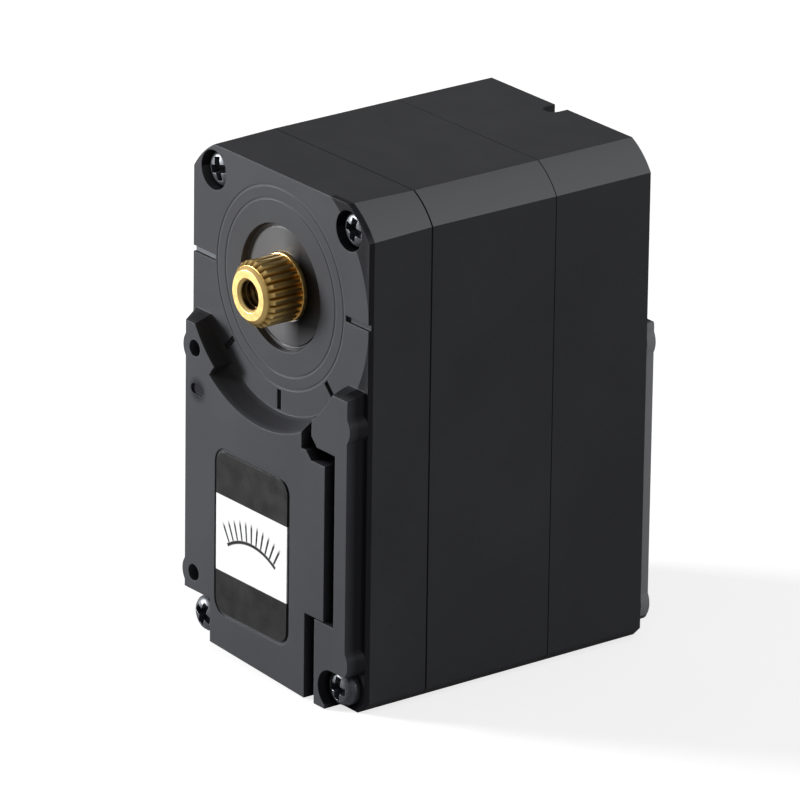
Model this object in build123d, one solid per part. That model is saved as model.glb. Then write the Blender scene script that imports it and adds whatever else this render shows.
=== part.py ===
"""Serial-bus servo: three-part moulded case, brass splined output shaft, four-stage gear train,
brushed motor, position sensor and control board.

Millimetres. The origin lies on the output axis in the plane of the case's front face.
-Y points out of the front, +X to the right seen from the front, +Z up.
Every y below counts backward from the front face.
"""

import os
from math import acos, atan2, cos, pi, radians, sin, sqrt, tan

from build123d import *

# Case, outside
CASE_WIDTH = 24.72
CASE_LENGTH = 45.22
CASE_DEPTH = 30.1
AXIS_TO_TOP = 10.2
FRONT_SEAM = 6.6
REAR_COVER_DEPTH = 10.26
WALL = 1.4
BOTTOM_CHAMFER = 0.9
# Width and height of the bevel on the two long top edges, at the seams and at the two ends
SEAM_BEVEL_WIDTH = 2.6
SEAM_BEVEL_HEIGHT = 2.5
FRONT_BEVEL_WIDTH = 2.95
FRONT_BEVEL_HEIGHT = 2.7
REAR_BEVEL_WIDTH = 2.65
REAR_BEVEL_HEIGHT = 2.45
BEVEL_BULGE = 0.25

# Clearances
RUNNING_CLEARANCE = 0.03
FIT_CLEARANCE = 0.02
PART_GAP = 0.1
LEVEL_GAP = 0.3

# Case screws: insets from the sides, and the depth of each head's front
TOP_SCREW_INSET = 2.86
TOP_SCREW_DROP = 2.35
BOTTOM_SCREW_INSET = 2.26
BOTTOM_SCREW_RISE = 2.02
TOP_HEAD_FRONT = 0.4
LEFT_FOOT_HEAD_FRONT = -0.5
RIGHT_FOOT_HEAD_FRONT = -1.2
SCREW_HEAD_RADIUS = 1.65
SCREW_HEAD_HEIGHT = 1.4
SCREW_HEAD_ROUND = 0.45
SCREW_RADIUS = 0.95
SCREW_END_SETBACK = 3.8
HEAD_CLEARANCE = 0.12
SHANK_CLEARANCE = 0.12
BOSS_WALL = 1.35

# Marks on the front face
RING_RADII = (7.75, 8.9)
RING_GROOVE_WIDTH = 0.2
RING_GROOVE_DEPTH = 0.03
TICK_INNER_RADIUS = 9.2
TICK_OUTER_RADIUS = 11.0
TICK_WIDTH = 0.55
TICK_DEPTH = 0.3
FRONT_TICK_ANGLES = (180, 225, 270, 315, 0)
REAR_TICK_ANGLES = (0, 45, 135, 180, 225, 270, 315)
TOP_TICK_WIDTH = 1.7
TOP_TICK_DEPTH = 0.9

# Raised pad on the front: insets from the case's sides and rises from its bottom
PAD_HEIGHT = 1.9
PAD_LEFT_INSET = 1.51
PAD_RIGHT_INSET = 0.31
LEFT_RAIL_TOP = -5.7
RIGHT_RAIL_TOP = -6.25
RAIL_TOP_SLOPE = 0.42
LEFT_RAIL_RISE = 5.62
LEFT_SIDE_SLOPE = 1.05
PAD_LEFT_RISE = 0.82
PAD_RIGHT_RISE = 0.07
PANEL_INSET = 5.21
LEFT_CUT_RADIUS = 11.1
ARC_FOOT_RADIUS = 11.2
ARC_FRONT_RADIUS = 12.25
RIGHT_CUT_RADIUS = 11.75
ARC_START = 232.5
ARC_END = 300
PAD_HOLE_RADIUS = 0.75
PAD_HOLE_DEPTH = 2.4
PAD_HOLE_INSET = 2.81
UPPER_HOLE_Z = -7.93
PAD_LOWER_HOLE_RISE = 6.44
PAD_EAR_RADIUS = 1.65
RIGHT_EAR_INSET = 1.56
RIGHT_UPPER_EAR_Z = -8.9
RIGHT_LOWER_EAR_RISE = 4.92
PAD_EDGE_ROUND = 0.7
DIMPLE_INSET = 3.26
DIMPLE_Z = -11.6
DIMPLE_LENGTH = 1.9
DIMPLE_WIDTH = 0.9
DIMPLE_DEPTH = 0.2

# Slot between the panel and the right rail
SLOT_UPPER_INSET = 5.96
SLOT_MIDDLE_INSET = 2.66
SLOT_LOWER_INSET = 5.31
SLOT_WIDTH = 1.4
SLOT_JOG_TOP = -12.3
SLOT_JOG_RISE = 7.87
SLOT_BEND = 1.5
SLOT_STEP_WIDTH = 0.12
SLOT_SINK = 0.5

# Label on the panel
LABEL_WIDTH = 10.1
LABEL_TOP = -16.1
LABEL_RISE = 4.12
LABEL_X = -1.2
LABEL_CORNER = 1.2
LABEL_THICKNESS = 0.15
LABEL_POCKET_DEPTH = 0.1
LABEL_MARGIN = 0.3

# Notch at the lower left corner, which frees one screw head
NOTCH_RISE = 4.82
NOTCH_DEPTH = 2.6

# Output shaft, front to rear
SHAFT_TIP = -3.4
SPLINE_TEETH = 25
SPLINE_RADIUS = 2.95
SPLINE_TOOTH_HEIGHT = 0.38
SPLINE_REAR = -0.3
TIP_CHAMFER = 0.45
HORN_SCREW_RADIUS = 1.25
HORN_SCREW_DEPTH = 8.0
HORN_SCREW_COUNTERSINK = 0.3
SHAFT_COLLAR_RADIUS = 3.45
SHAFT_COLLAR_WIDTH = 0.35
SHAFT_GEAR_SEAT_RADIUS = 3.1
SHAFT_MIDDLE_RADIUS = 2.6
SHAFT_REAR_RADIUS = 2.2
SHAFT_REAR_OVERHANG = 0.2

# Front bearing and dust washer
BEARING_BORE_RADIUS = 3.0
BEARING_OUTER_RADIUS = 5.0
BEARING_WIDTH = 2.5
BEARING_RING_THICKNESS = 0.5
BEARING_BALLS = 9
DUST_WASHER_RECESS = 0.56
DUST_WASHER_THICKNESS = 0.3
DUST_WASHER_CLEARANCE = 0.08
WASHER_RIM_INSET = 0.6
WASHER_RIM_WIDTH = 0.14
WASHER_RIM_DEPTH = 0.1

# Gear train
PRESSURE_ANGLE = radians(20)
FINE_MODULE = 0.4
COARSE_MODULE = 0.5
PROFILE_SHIFT = 0.35
BACKLASH = 0.08
FLANK_POINTS = 3
FINE_PINION_TEETH = 10
FINE_WHEEL_TEETH = 38
COARSE_PINION_TEETH = 12
OUTPUT_TEETH = 32
LEFT_WHEEL_GAP = 0.8
RIGHT_WHEEL_GAP = 0.4
MOTOR_OFFSET = 0.3
OUTPUT_WHEEL_WIDTH = 2.3
THIRD_WHEEL_WIDTH = 1.4
SECOND_WHEEL_WIDTH = 1.1
FIRST_WHEEL_WIDTH = 1.0
PINION_OVERHANG = 0.1
PIN_RADIUS = 0.75
PIN_BOSS_RADIUS = 2.0
PIN_SEAT_DEPTH = 0.9
REAR_PIN_BOSS_RADIUS = 1.4
WHEEL_HOLES = 5
WHEEL_HOLE_RADIUS = 1.1

# Deck that divides the gears from the motor
DECK_THICKNESS = 1.4
BUSH_RADIUS = 3.3
BUSH_LENGTH = 2.4
BUSH_BOSS_WALL = 1.1

# Motor
MOTOR_RADIUS = 7.9
MOTOR_BOARD_GAP = 1.29
MOTOR_WALL = 0.6
MOTOR_FACE = 0.8
MOTOR_SHAFT_RADIUS = 1.0
MOTOR_BOSS_RADIUS = 2.6
MOTOR_BOSS_HEIGHT = 0.8
MOTOR_BUSH_RADIUS = 2.0
MOTOR_SCREW_SPACING = 10.0
MOTOR_SCREW_RADIUS = 0.8
MOTOR_SCREW_HEAD_RADIUS = 1.45
MOTOR_SCREW_HEAD_HEIGHT = 0.6
MAGNET_THICKNESS = 1.4
MAGNET_ARC = 135
MAGNET_SETBACK = 4.0
AIR_GAP = 0.35
ARMATURE_SETBACK = 1.2
ARMATURE_SLOTS = 3
ARMATURE_SLOT_WIDTH = 0.9
ARMATURE_STEM_RADIUS = 2.6
ARMATURE_RIM = 1.0
WINDING_CLEARANCE = 0.15
COMMUTATOR_RADIUS = 1.9
COMMUTATOR_LENGTH = 2.2
BRUSH_WIDTH = 1.2
BRUSH_LENGTH = 1.6
BRUSH_HEIGHT = 1.4
END_CAP_THICKNESS = 1.3
TERMINAL_WIDTH = 1.6
TERMINAL_THICKNESS = 0.4
TERMINAL_OFFSET = 5.2

# Position sensor on the output axis
SENSOR_RADIUS = 6.0
SENSOR_HEIGHT = 4.6
SENSOR_WALL = 0.8
SENSOR_STEM_RADIUS = 1.5
SENSOR_STEM_FLAT = 0.45
SENSOR_STEM_SEAT = 2.6
SENSOR_DISC_RADIUS = 4.7
SENSOR_DISC_THICKNESS = 0.7
SENSOR_PIN_SPACING = 2.5
SENSOR_PIN_RADIUS = 0.3

# Control board
BOARD_THICKNESS = 1.2
BOARD_SETBACK = 5.1
BOARD_EDGE_GAP = 0.4
BOARD_CORNER_GAP = 0.3
CONTROLLER_SIZE = 7.0
CONTROLLER_HEIGHT = 1.0
CONTROLLER_X = -4.6
CONTROLLER_Z = -10.5
DRIVER_WIDTH = 3.9
DRIVER_LENGTH = 4.9
DRIVER_HEIGHT = 1.5
DRIVER_X = 4.4
DRIVER_Z = -16.5
CAPACITOR_WIDTH = 3.5
CAPACITOR_LENGTH = 6.4
CAPACITOR_HEIGHT = 1.9
CAPACITOR_X = -5.0
CAPACITOR_Z = -18.0
REGULATOR_WIDTH = 4.5
REGULATOR_LENGTH = 2.5
REGULATOR_HEIGHT = 1.5
REGULATOR_X = 4.4
REGULATOR_Z = -9.0
BOARD_POST_RADIUS = 1.6
BOARD_SCREW_RADIUS = 0.7
BOARD_SCREW_HEAD_RADIUS = 1.4
BOARD_SCREW_HEAD_HEIGHT = 0.7
BOARD_SCREW_LENGTH = 3.2
BOARD_SCREW_INSET = 2.36
UPPER_BOARD_SCREW_Z = -1.5
LOWER_BOARD_SCREW_RISE = 5.8

# Two three-pin sockets in the rear wall
SOCKET_WIDTH = 8.0
SOCKET_HEIGHT = 5.2
SOCKET_SPACING = 8.8
SOCKET_RISE = 6.62
SOCKET_WALL = 0.8
SOCKET_FLOOR = 0.9
SOCKET_RECESS = 0.2
SOCKET_KEY_WIDTH = 3.0
SOCKET_PIN_SPACING = 2.5
SOCKET_PIN_RADIUS = 0.3
SOCKET_PIN_STANDOFF = 0.7
OPENING_CLEARANCE = 0.15

# Rear face
REAR_RAIL_HEIGHT = 1.0
REAR_RAIL_INSET = 0.26
REAR_RAIL_WIDTH = 3.0
REAR_RAIL_TOP = -5.5
REAR_RAIL_RISE = 1.22
REAR_RAIL_SLOPE = 0.6
REAR_HOLE_INSET = 1.96
REAR_LOWER_HOLE_RISE = 2.92
REAR_HOLE_DEPTH = 2.2
REAR_EAR_RADIUS = 1.95
PIVOT_RADIUS = 4.0
PIVOT_HEIGHT = 1.0
PIVOT_HOLE_RADIUS = 1.25
PIVOT_HOLE_DEPTH = 5.0
PIVOT_HUB_WALL = 1.2

# Worked out from the sizes above
HALF_WIDTH = CASE_WIDTH / 2
CASE_BOTTOM = AXIS_TO_TOP - CASE_LENGTH
INNER_X = HALF_WIDTH - WALL
INNER_TOP = AXIS_TO_TOP - WALL
INNER_BOTTOM = CASE_BOTTOM + WALL
REAR_WALL_FRONT = CASE_DEPTH - WALL
REAR_SEAM = CASE_DEPTH - REAR_COVER_DEPTH
SCREW_END = CASE_DEPTH - SCREW_END_SETBACK

PAD_LEFT = PAD_LEFT_INSET - HALF_WIDTH
PAD_RIGHT = HALF_WIDTH - PAD_RIGHT_INSET
LEFT_RAIL_BOTTOM = CASE_BOTTOM + LEFT_RAIL_RISE
PAD_BOTTOM_LEFT = CASE_BOTTOM + PAD_LEFT_RISE
PAD_BOTTOM_RIGHT = CASE_BOTTOM + PAD_RIGHT_RISE
PANEL_LEFT = PANEL_INSET - HALF_WIDTH
PAD_HOLE_X = PAD_HOLE_INSET - HALF_WIDTH
PAD_HOLE_Z = (UPPER_HOLE_Z, CASE_BOTTOM + PAD_LOWER_HOLE_RISE)
RIGHT_EAR_X = HALF_WIDTH - RIGHT_EAR_INSET
RIGHT_EAR_Z = (RIGHT_UPPER_EAR_Z, CASE_BOTTOM + RIGHT_LOWER_EAR_RISE)
DIMPLE_X = DIMPLE_INSET - HALF_WIDTH
SLOT_UPPER_X = HALF_WIDTH - SLOT_UPPER_INSET
SLOT_MIDDLE_X = HALF_WIDTH - SLOT_MIDDLE_INSET
SLOT_LOWER_X = HALF_WIDTH - SLOT_LOWER_INSET
SLOT_JOG_BOTTOM = CASE_BOTTOM + SLOT_JOG_RISE
LABEL_BOTTOM = CASE_BOTTOM + LABEL_RISE
LABEL_HEIGHT = LABEL_TOP - LABEL_BOTTOM
LABEL_Z = (LABEL_TOP + LABEL_BOTTOM) / 2
NOTCH_TOP = CASE_BOTTOM + NOTCH_RISE
REAR_RAIL_OUTER = HALF_WIDTH - REAR_RAIL_INSET
REAR_RAIL_BOTTOM = CASE_BOTTOM + REAR_RAIL_RISE
REAR_HOLE_X = HALF_WIDTH - REAR_HOLE_INSET
REAR_HOLE_Z = (UPPER_HOLE_Z, CASE_BOTTOM + REAR_LOWER_HOLE_RISE)

BEARING_FRONT = DUST_WASHER_RECESS + DUST_WASHER_THICKNESS
BEARING_REAR = BEARING_FRONT + BEARING_WIDTH
OUTPUT_WHEEL_FRONT = BEARING_REAR + SHAFT_COLLAR_WIDTH
OUTPUT_WHEEL_REAR = OUTPUT_WHEEL_FRONT + OUTPUT_WHEEL_WIDTH
THIRD_WHEEL_FRONT = OUTPUT_WHEEL_REAR + LEVEL_GAP
THIRD_WHEEL_REAR = THIRD_WHEEL_FRONT + THIRD_WHEEL_WIDTH
SECOND_WHEEL_FRONT = THIRD_WHEEL_REAR + LEVEL_GAP
SECOND_WHEEL_REAR = SECOND_WHEEL_FRONT + SECOND_WHEEL_WIDTH
FIRST_WHEEL_FRONT = SECOND_WHEEL_REAR + LEVEL_GAP
FIRST_WHEEL_REAR = FIRST_WHEEL_FRONT + FIRST_WHEEL_WIDTH
DECK_FRONT = FIRST_WHEEL_REAR + LEVEL_GAP
DECK_REAR = DECK_FRONT + DECK_THICKNESS

FINE_CENTRES = FINE_MODULE * (FINE_PINION_TEETH + FINE_WHEEL_TEETH) / 2
COARSE_CENTRES = COARSE_MODULE * (COARSE_PINION_TEETH + OUTPUT_TEETH) / 2
FINE_WHEEL_TIP = FINE_MODULE * (FINE_WHEEL_TEETH / 2 + 1 - PROFILE_SHIFT)
LEFT_PIN_X = -(INNER_X - FINE_WHEEL_TIP - LEFT_WHEEL_GAP)
RIGHT_PIN_X = INNER_X - FINE_WHEEL_TIP - RIGHT_WHEEL_GAP
MOTOR_X = LEFT_PIN_X + MOTOR_OFFSET
LEFT_PIN_Z = -sqrt(COARSE_CENTRES**2 - LEFT_PIN_X**2)
RIGHT_PIN_Z = LEFT_PIN_Z - sqrt(FINE_CENTRES**2 - (RIGHT_PIN_X - LEFT_PIN_X) ** 2)
MOTOR_Z = LEFT_PIN_Z - sqrt(FINE_CENTRES**2 - (MOTOR_X - LEFT_PIN_X) ** 2)

SHAFT_END = DECK_FRONT + BUSH_LENGTH + SHAFT_REAR_OVERHANG
BOARD_FRONT = CASE_DEPTH - BOARD_SETBACK
BOARD_REAR = BOARD_FRONT + BOARD_THICKNESS
MOTOR_REAR = BOARD_FRONT - MOTOR_BOARD_GAP
MOTOR_LENGTH = MOTOR_REAR - DECK_REAR
MAGNET_LENGTH = MOTOR_LENGTH - MAGNET_SETBACK
ARMATURE_LENGTH = MAGNET_LENGTH - ARMATURE_SETBACK
MAGNET_FRONT = DECK_REAR + MOTOR_FACE + PART_GAP
MAGNET_REAR = MAGNET_FRONT + MAGNET_LENGTH
ARMATURE_FRONT = MAGNET_FRONT + (MAGNET_LENGTH - ARMATURE_LENGTH) / 2
ARMATURE_REAR = ARMATURE_FRONT + ARMATURE_LENGTH
END_CAP_FRONT = MOTOR_REAR - END_CAP_THICKNESS
SENSOR_FRONT = BOARD_FRONT - SENSOR_HEIGHT
SOCKET_REAR = CASE_DEPTH - SOCKET_RECESS
SOCKET_Z = CASE_BOTTOM + SOCKET_RISE
BOARD_SCREW_X = INNER_X - BOARD_SCREW_INSET
LOWER_BOARD_SCREW_Z = SOCKET_Z + LOWER_BOARD_SCREW_RISE
BOARD_SCREW_PLACES = ((-BOARD_SCREW_X, UPPER_BOARD_SCREW_Z), (BOARD_SCREW_X, LOWER_BOARD_SCREW_Z))

TOP_SCREW_X = HALF_WIDTH - TOP_SCREW_INSET
TOP_SCREW_Z = AXIS_TO_TOP - TOP_SCREW_DROP
BOTTOM_SCREW_X = HALF_WIDTH - BOTTOM_SCREW_INSET
BOTTOM_SCREW_Z = CASE_BOTTOM + BOTTOM_SCREW_RISE
TOP_SCREWS = ((-TOP_SCREW_X, TOP_SCREW_Z), (TOP_SCREW_X, TOP_SCREW_Z))
BOTTOM_SCREWS = ((-BOTTOM_SCREW_X, BOTTOM_SCREW_Z), (BOTTOM_SCREW_X, BOTTOM_SCREW_Z))
CASE_SCREWS = TOP_SCREWS + BOTTOM_SCREWS
HEAD_FRONTS = (TOP_HEAD_FRONT, TOP_HEAD_FRONT, LEFT_FOOT_HEAD_FRONT, RIGHT_FOOT_HEAD_FRONT)
BOSS_RADIUS = SCREW_RADIUS + BOSS_WALL


# Drawing helpers

def front_plane(y):
    """Plane at depth y whose own axes are the servo's X and Z."""
    return Plane(origin=(0, y, 0), x_dir=(1, 0, 0), z_dir=(0, -1, 0))


def slab(outline, front, rear):
    """Outline drawn in X and Z, made solid from depth front to depth rear."""
    return extrude(front_plane(rear) * outline, amount=rear - front)


def rod(radius, front, rear, x=0, z=0):
    """Cylinder along Y."""
    return slab(Pos(x, z) * Circle(radius), front, rear)


def block(width, height, front, rear, x=0, z=0):
    """Box whose width lies along X and height along Z."""
    return slab(Pos(x, z) * Rectangle(width, height), front, rear)


def tube(outer, inner, front, rear, x=0, z=0):
    """Hollow cylinder along Y."""
    return slab(Pos(x, z) * (Circle(outer) - Circle(inner)), front, rear)


def turned(shape, angle):
    """Shape swung about the output axis, counter-clockwise seen from the front."""
    return Rot(0, -angle, 0) * shape


def ring_sector(profile, start, end):
    """Profile of (radius, y) points swept about the output axis between two angles."""
    face = make_face(Polyline(*profile, close=True))
    return turned(revolve(face, Axis.Y, revolution_arc=end - start), end)


def polygon(*points):
    return make_face(Polyline(*points, close=True))


# Case outline and cavity

def case_outline(bevel_width, bevel_height):
    """Outside of the case in X and Z, with a bulged bevel on both top corners."""
    x_top = HALF_WIDTH - bevel_width
    z_side = AXIS_TO_TOP - bevel_height
    bevel_length = sqrt(bevel_width**2 + bevel_height**2)
    x_mid = (HALF_WIDTH + x_top) / 2 + BEVEL_BULGE * bevel_height / bevel_length
    z_mid = (AXIS_TO_TOP + z_side) / 2 + BEVEL_BULGE * bevel_width / bevel_length
    x_low = HALF_WIDTH - BOTTOM_CHAMFER
    z_low = CASE_BOTTOM + BOTTOM_CHAMFER
    edges = [
        Line((-x_top, AXIS_TO_TOP), (x_top, AXIS_TO_TOP)),
        ThreePointArc((x_top, AXIS_TO_TOP), (x_mid, z_mid), (HALF_WIDTH, z_side)),
        Line((HALF_WIDTH, z_side), (HALF_WIDTH, z_low)),
        Line((HALF_WIDTH, z_low), (x_low, CASE_BOTTOM)),
        Line((x_low, CASE_BOTTOM), (-x_low, CASE_BOTTOM)),
        Line((-x_low, CASE_BOTTOM), (-HALF_WIDTH, z_low)),
        Line((-HALF_WIDTH, z_low), (-HALF_WIDTH, z_side)),
        ThreePointArc((-HALF_WIDTH, z_side), (-x_mid, z_mid), (-x_top, AXIS_TO_TOP)),
    ]
    return make_face(edges)


def tapered_case(front_outline, rear_outline, front, rear):
    """Case section whose outline changes from one face to the other."""
    faces = [front_plane(front) * front_outline, front_plane(rear) * rear_outline]
    return loft(Sketch() + faces, ruled=True)


def cavity_outline():
    """Inside of the case walls, less the bosses round the four long screws."""
    height = INNER_TOP - INNER_BOTTOM
    room = Pos(0, (INNER_TOP + INNER_BOTTOM) / 2) * RectangleRounded(2 * INNER_X, height, WALL / 2)
    for x, z in CASE_SCREWS:
        room -= Pos(x, z) * Circle(BOSS_RADIUS)
    return room


def screw_holes(front, rear, radius):
    return [rod(radius, front, rear, x, z) for x, z in CASE_SCREWS]


# Front cover

def tick_groove(angle, inner, outer, width, depth, face_y, direction):
    """Short radial groove cut into a face; direction is 1 to cut toward +Y and -1 toward -Y."""
    middle = (inner + outer) / 2
    bar = Pos(middle, 0) * Rectangle(outer - inner, width)
    front, rear = sorted((face_y, face_y + direction * depth))
    return turned(slab(bar, front, rear), angle)


def pad_outline():
    """Left rail, panel and right rail as one outline, before the round cut and the slot."""
    panel_foot = (LEFT_RAIL_BOTTOM + NOTCH_TOP) / 2
    left = polygon(
        (PAD_LEFT, LEFT_RAIL_TOP),
        (LABEL_X, LEFT_RAIL_TOP),
        (LABEL_X, NOTCH_TOP),
        (PAD_LEFT + PAD_EDGE_ROUND, NOTCH_TOP),
        (PAD_LEFT, panel_foot),
    )
    right = polygon(
        (LABEL_X, RIGHT_RAIL_TOP),
        (PAD_RIGHT, RIGHT_RAIL_TOP),
        (PAD_RIGHT, PAD_BOTTOM_RIGHT),
        (SLOT_LOWER_X, PAD_BOTTOM_RIGHT),
        (PANEL_LEFT, PAD_BOTTOM_LEFT),
        (PANEL_LEFT, NOTCH_TOP),
        (LABEL_X, NOTCH_TOP),
    )
    ears = [Pos(PAD_HOLE_X, z) * Circle(PAD_EAR_RADIUS) for z in PAD_HOLE_Z]
    ears += [Pos(RIGHT_EAR_X, z) * Circle(PAD_EAR_RADIUS) for z in RIGHT_EAR_Z]
    return left + right + ears


def pad_slot():
    """Path of the slot: down beside the panel, out, down, back in and out at the bottom."""
    half = SLOT_WIDTH / 2
    above = -ARC_FOOT_RADIUS + 3 * SLOT_WIDTH
    below = CASE_BOTTOM - SLOT_WIDTH
    upper = Pos(SLOT_UPPER_X, (above + SLOT_JOG_TOP) / 2) * Rectangle(SLOT_WIDTH, above - SLOT_JOG_TOP)
    bend = polygon(
        (SLOT_UPPER_X - half, SLOT_JOG_TOP + half),
        (SLOT_UPPER_X + half, SLOT_JOG_TOP + SLOT_BEND),
        (SLOT_UPPER_X + SLOT_BEND, SLOT_JOG_TOP + half),
        (SLOT_MIDDLE_X + half, SLOT_JOG_TOP + half),
        (SLOT_MIDDLE_X + half, SLOT_JOG_TOP - half),
        (SLOT_UPPER_X + half, SLOT_JOG_TOP - half),
    )
    middle_height = SLOT_JOG_TOP - SLOT_JOG_BOTTOM
    middle_z = (SLOT_JOG_TOP + SLOT_JOG_BOTTOM) / 2
    middle = Pos(SLOT_MIDDLE_X, middle_z) * Rectangle(SLOT_WIDTH, middle_height)
    step_width = SLOT_MIDDLE_X - SLOT_LOWER_X + SLOT_WIDTH
    step_x = (SLOT_MIDDLE_X + SLOT_LOWER_X) / 2
    step = Pos(step_x, SLOT_JOG_BOTTOM) * Rectangle(step_width, SLOT_STEP_WIDTH)
    lower_z = (SLOT_JOG_BOTTOM + below) / 2
    lower = Pos(SLOT_LOWER_X, lower_z) * Rectangle(SLOT_WIDTH, SLOT_JOG_BOTTOM - below)
    return upper + bend + middle + step + lower


def rail_top_slope(x_from, x_to, front_z, rise):
    """Wedge above a rail's upper end, so that the end slopes up toward the case."""
    wedge = Plane.YZ.offset(x_from) * polygon(
        (-PAD_HEIGHT, front_z), (0, front_z + rise), (0, front_z - WALL), (-PAD_HEIGHT, front_z - WALL)
    )
    return extrude(wedge, amount=x_to - x_from)


def left_side_slope(bottom, top):
    """Outer part of the left rail, whose side slopes from its front edge out to the case."""
    wedge = Plane.XY.offset(bottom) * polygon(
        (PAD_LEFT, -PAD_HEIGHT),
        (PAD_HOLE_X, -PAD_HEIGHT),
        (PAD_HOLE_X, 0),
        (PAD_LEFT - LEFT_SIDE_SLOPE, 0),
    )
    return extrude(wedge, amount=top - bottom)


def front_pad():
    pad = slab(pad_outline(), -PAD_HEIGHT, 0)
    left_end = rail_top_slope(PAD_LEFT - LEFT_SIDE_SLOPE, PAD_HOLE_X, LEFT_RAIL_TOP, RAIL_TOP_SLOPE)
    pad += left_end & left_side_slope(LEFT_RAIL_TOP - WALL, LEFT_RAIL_TOP + RAIL_TOP_SLOPE)
    pad += rail_top_slope(SLOT_MIDDLE_X, PAD_RIGHT, RIGHT_RAIL_TOP, RAIL_TOP_SLOPE)
    pad += left_side_slope(NOTCH_TOP, LEFT_RAIL_TOP)
    straight = ((0, -PAD_HEIGHT), (LEFT_CUT_RADIUS, -PAD_HEIGHT), (LEFT_CUT_RADIUS, 0), (0, 0))
    flared = ((0, -PAD_HEIGHT), (ARC_FRONT_RADIUS, -PAD_HEIGHT), (ARC_FOOT_RADIUS, 0), (0, 0))
    right = ((0, -PAD_HEIGHT), (RIGHT_CUT_RADIUS, -PAD_HEIGHT), (ARC_FOOT_RADIUS, 0), (0, 0))
    pad -= ring_sector(straight, 180, ARC_START)
    pad -= ring_sector(flared, ARC_START, ARC_END)
    pad -= ring_sector(right, ARC_END, 360)
    return pad - slab(pad_slot(), -PAD_HEIGHT, 0)


def screw_counterbores():
    """Clear space in front of the four screw heads."""
    radius = SCREW_HEAD_RADIUS + HEAD_CLEARANCE
    places = zip(HEAD_FRONTS, CASE_SCREWS)
    return [rod(radius, -PAD_HEIGHT, front + SCREW_HEAD_HEIGHT, x, z) for front, (x, z) in places]


def corner_notch():
    """Lower left corner cut back to a floor, with a round seat left under the screw head."""
    width = PANEL_LEFT + HALF_WIDTH
    height = NOTCH_TOP - CASE_BOTTOM
    x, z = BOTTOM_SCREWS[0]
    middle_x = PANEL_LEFT - width / 2
    middle_z = NOTCH_TOP - height / 2
    notch = block(width, height, -PAD_HEIGHT, NOTCH_DEPTH, middle_x, middle_z)
    seat = rod(SCREW_HEAD_RADIUS, LEFT_FOOT_HEAD_FRONT + SCREW_HEAD_HEIGHT, NOTCH_DEPTH, x, z)
    return notch - seat


def right_corner_opening():
    """Lower right corner of the pad cut away outside the screw head."""
    x, z = BOTTOM_SCREWS[1]
    top = z + SCREW_HEAD_RADIUS + HEAD_CLEARANCE
    left = x - SCREW_HEAD_RADIUS / 2
    right = HALF_WIDTH + WALL
    foot = CASE_BOTTOM - WALL
    below = block(right - left, z - foot, -PAD_HEIGHT, 0, (left + right) / 2, (z + foot) / 2)
    beside = block(right - x, top - foot, -PAD_HEIGHT, 0, (x + right) / 2, (top + foot) / 2)
    return below + beside


def pin_bosses():
    """Two round bosses inside the front wall that hold the gear pins."""
    left_rear = OUTPUT_WHEEL_FRONT - PINION_OVERHANG - LEVEL_GAP / 3
    right_rear = THIRD_WHEEL_FRONT - PINION_OVERHANG - LEVEL_GAP / 3
    left = rod(PIN_BOSS_RADIUS, 0, left_rear, LEFT_PIN_X, LEFT_PIN_Z)
    right = rod(PIN_BOSS_RADIUS, 0, right_rear, RIGHT_PIN_X, RIGHT_PIN_Z)
    return [left, right]


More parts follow.
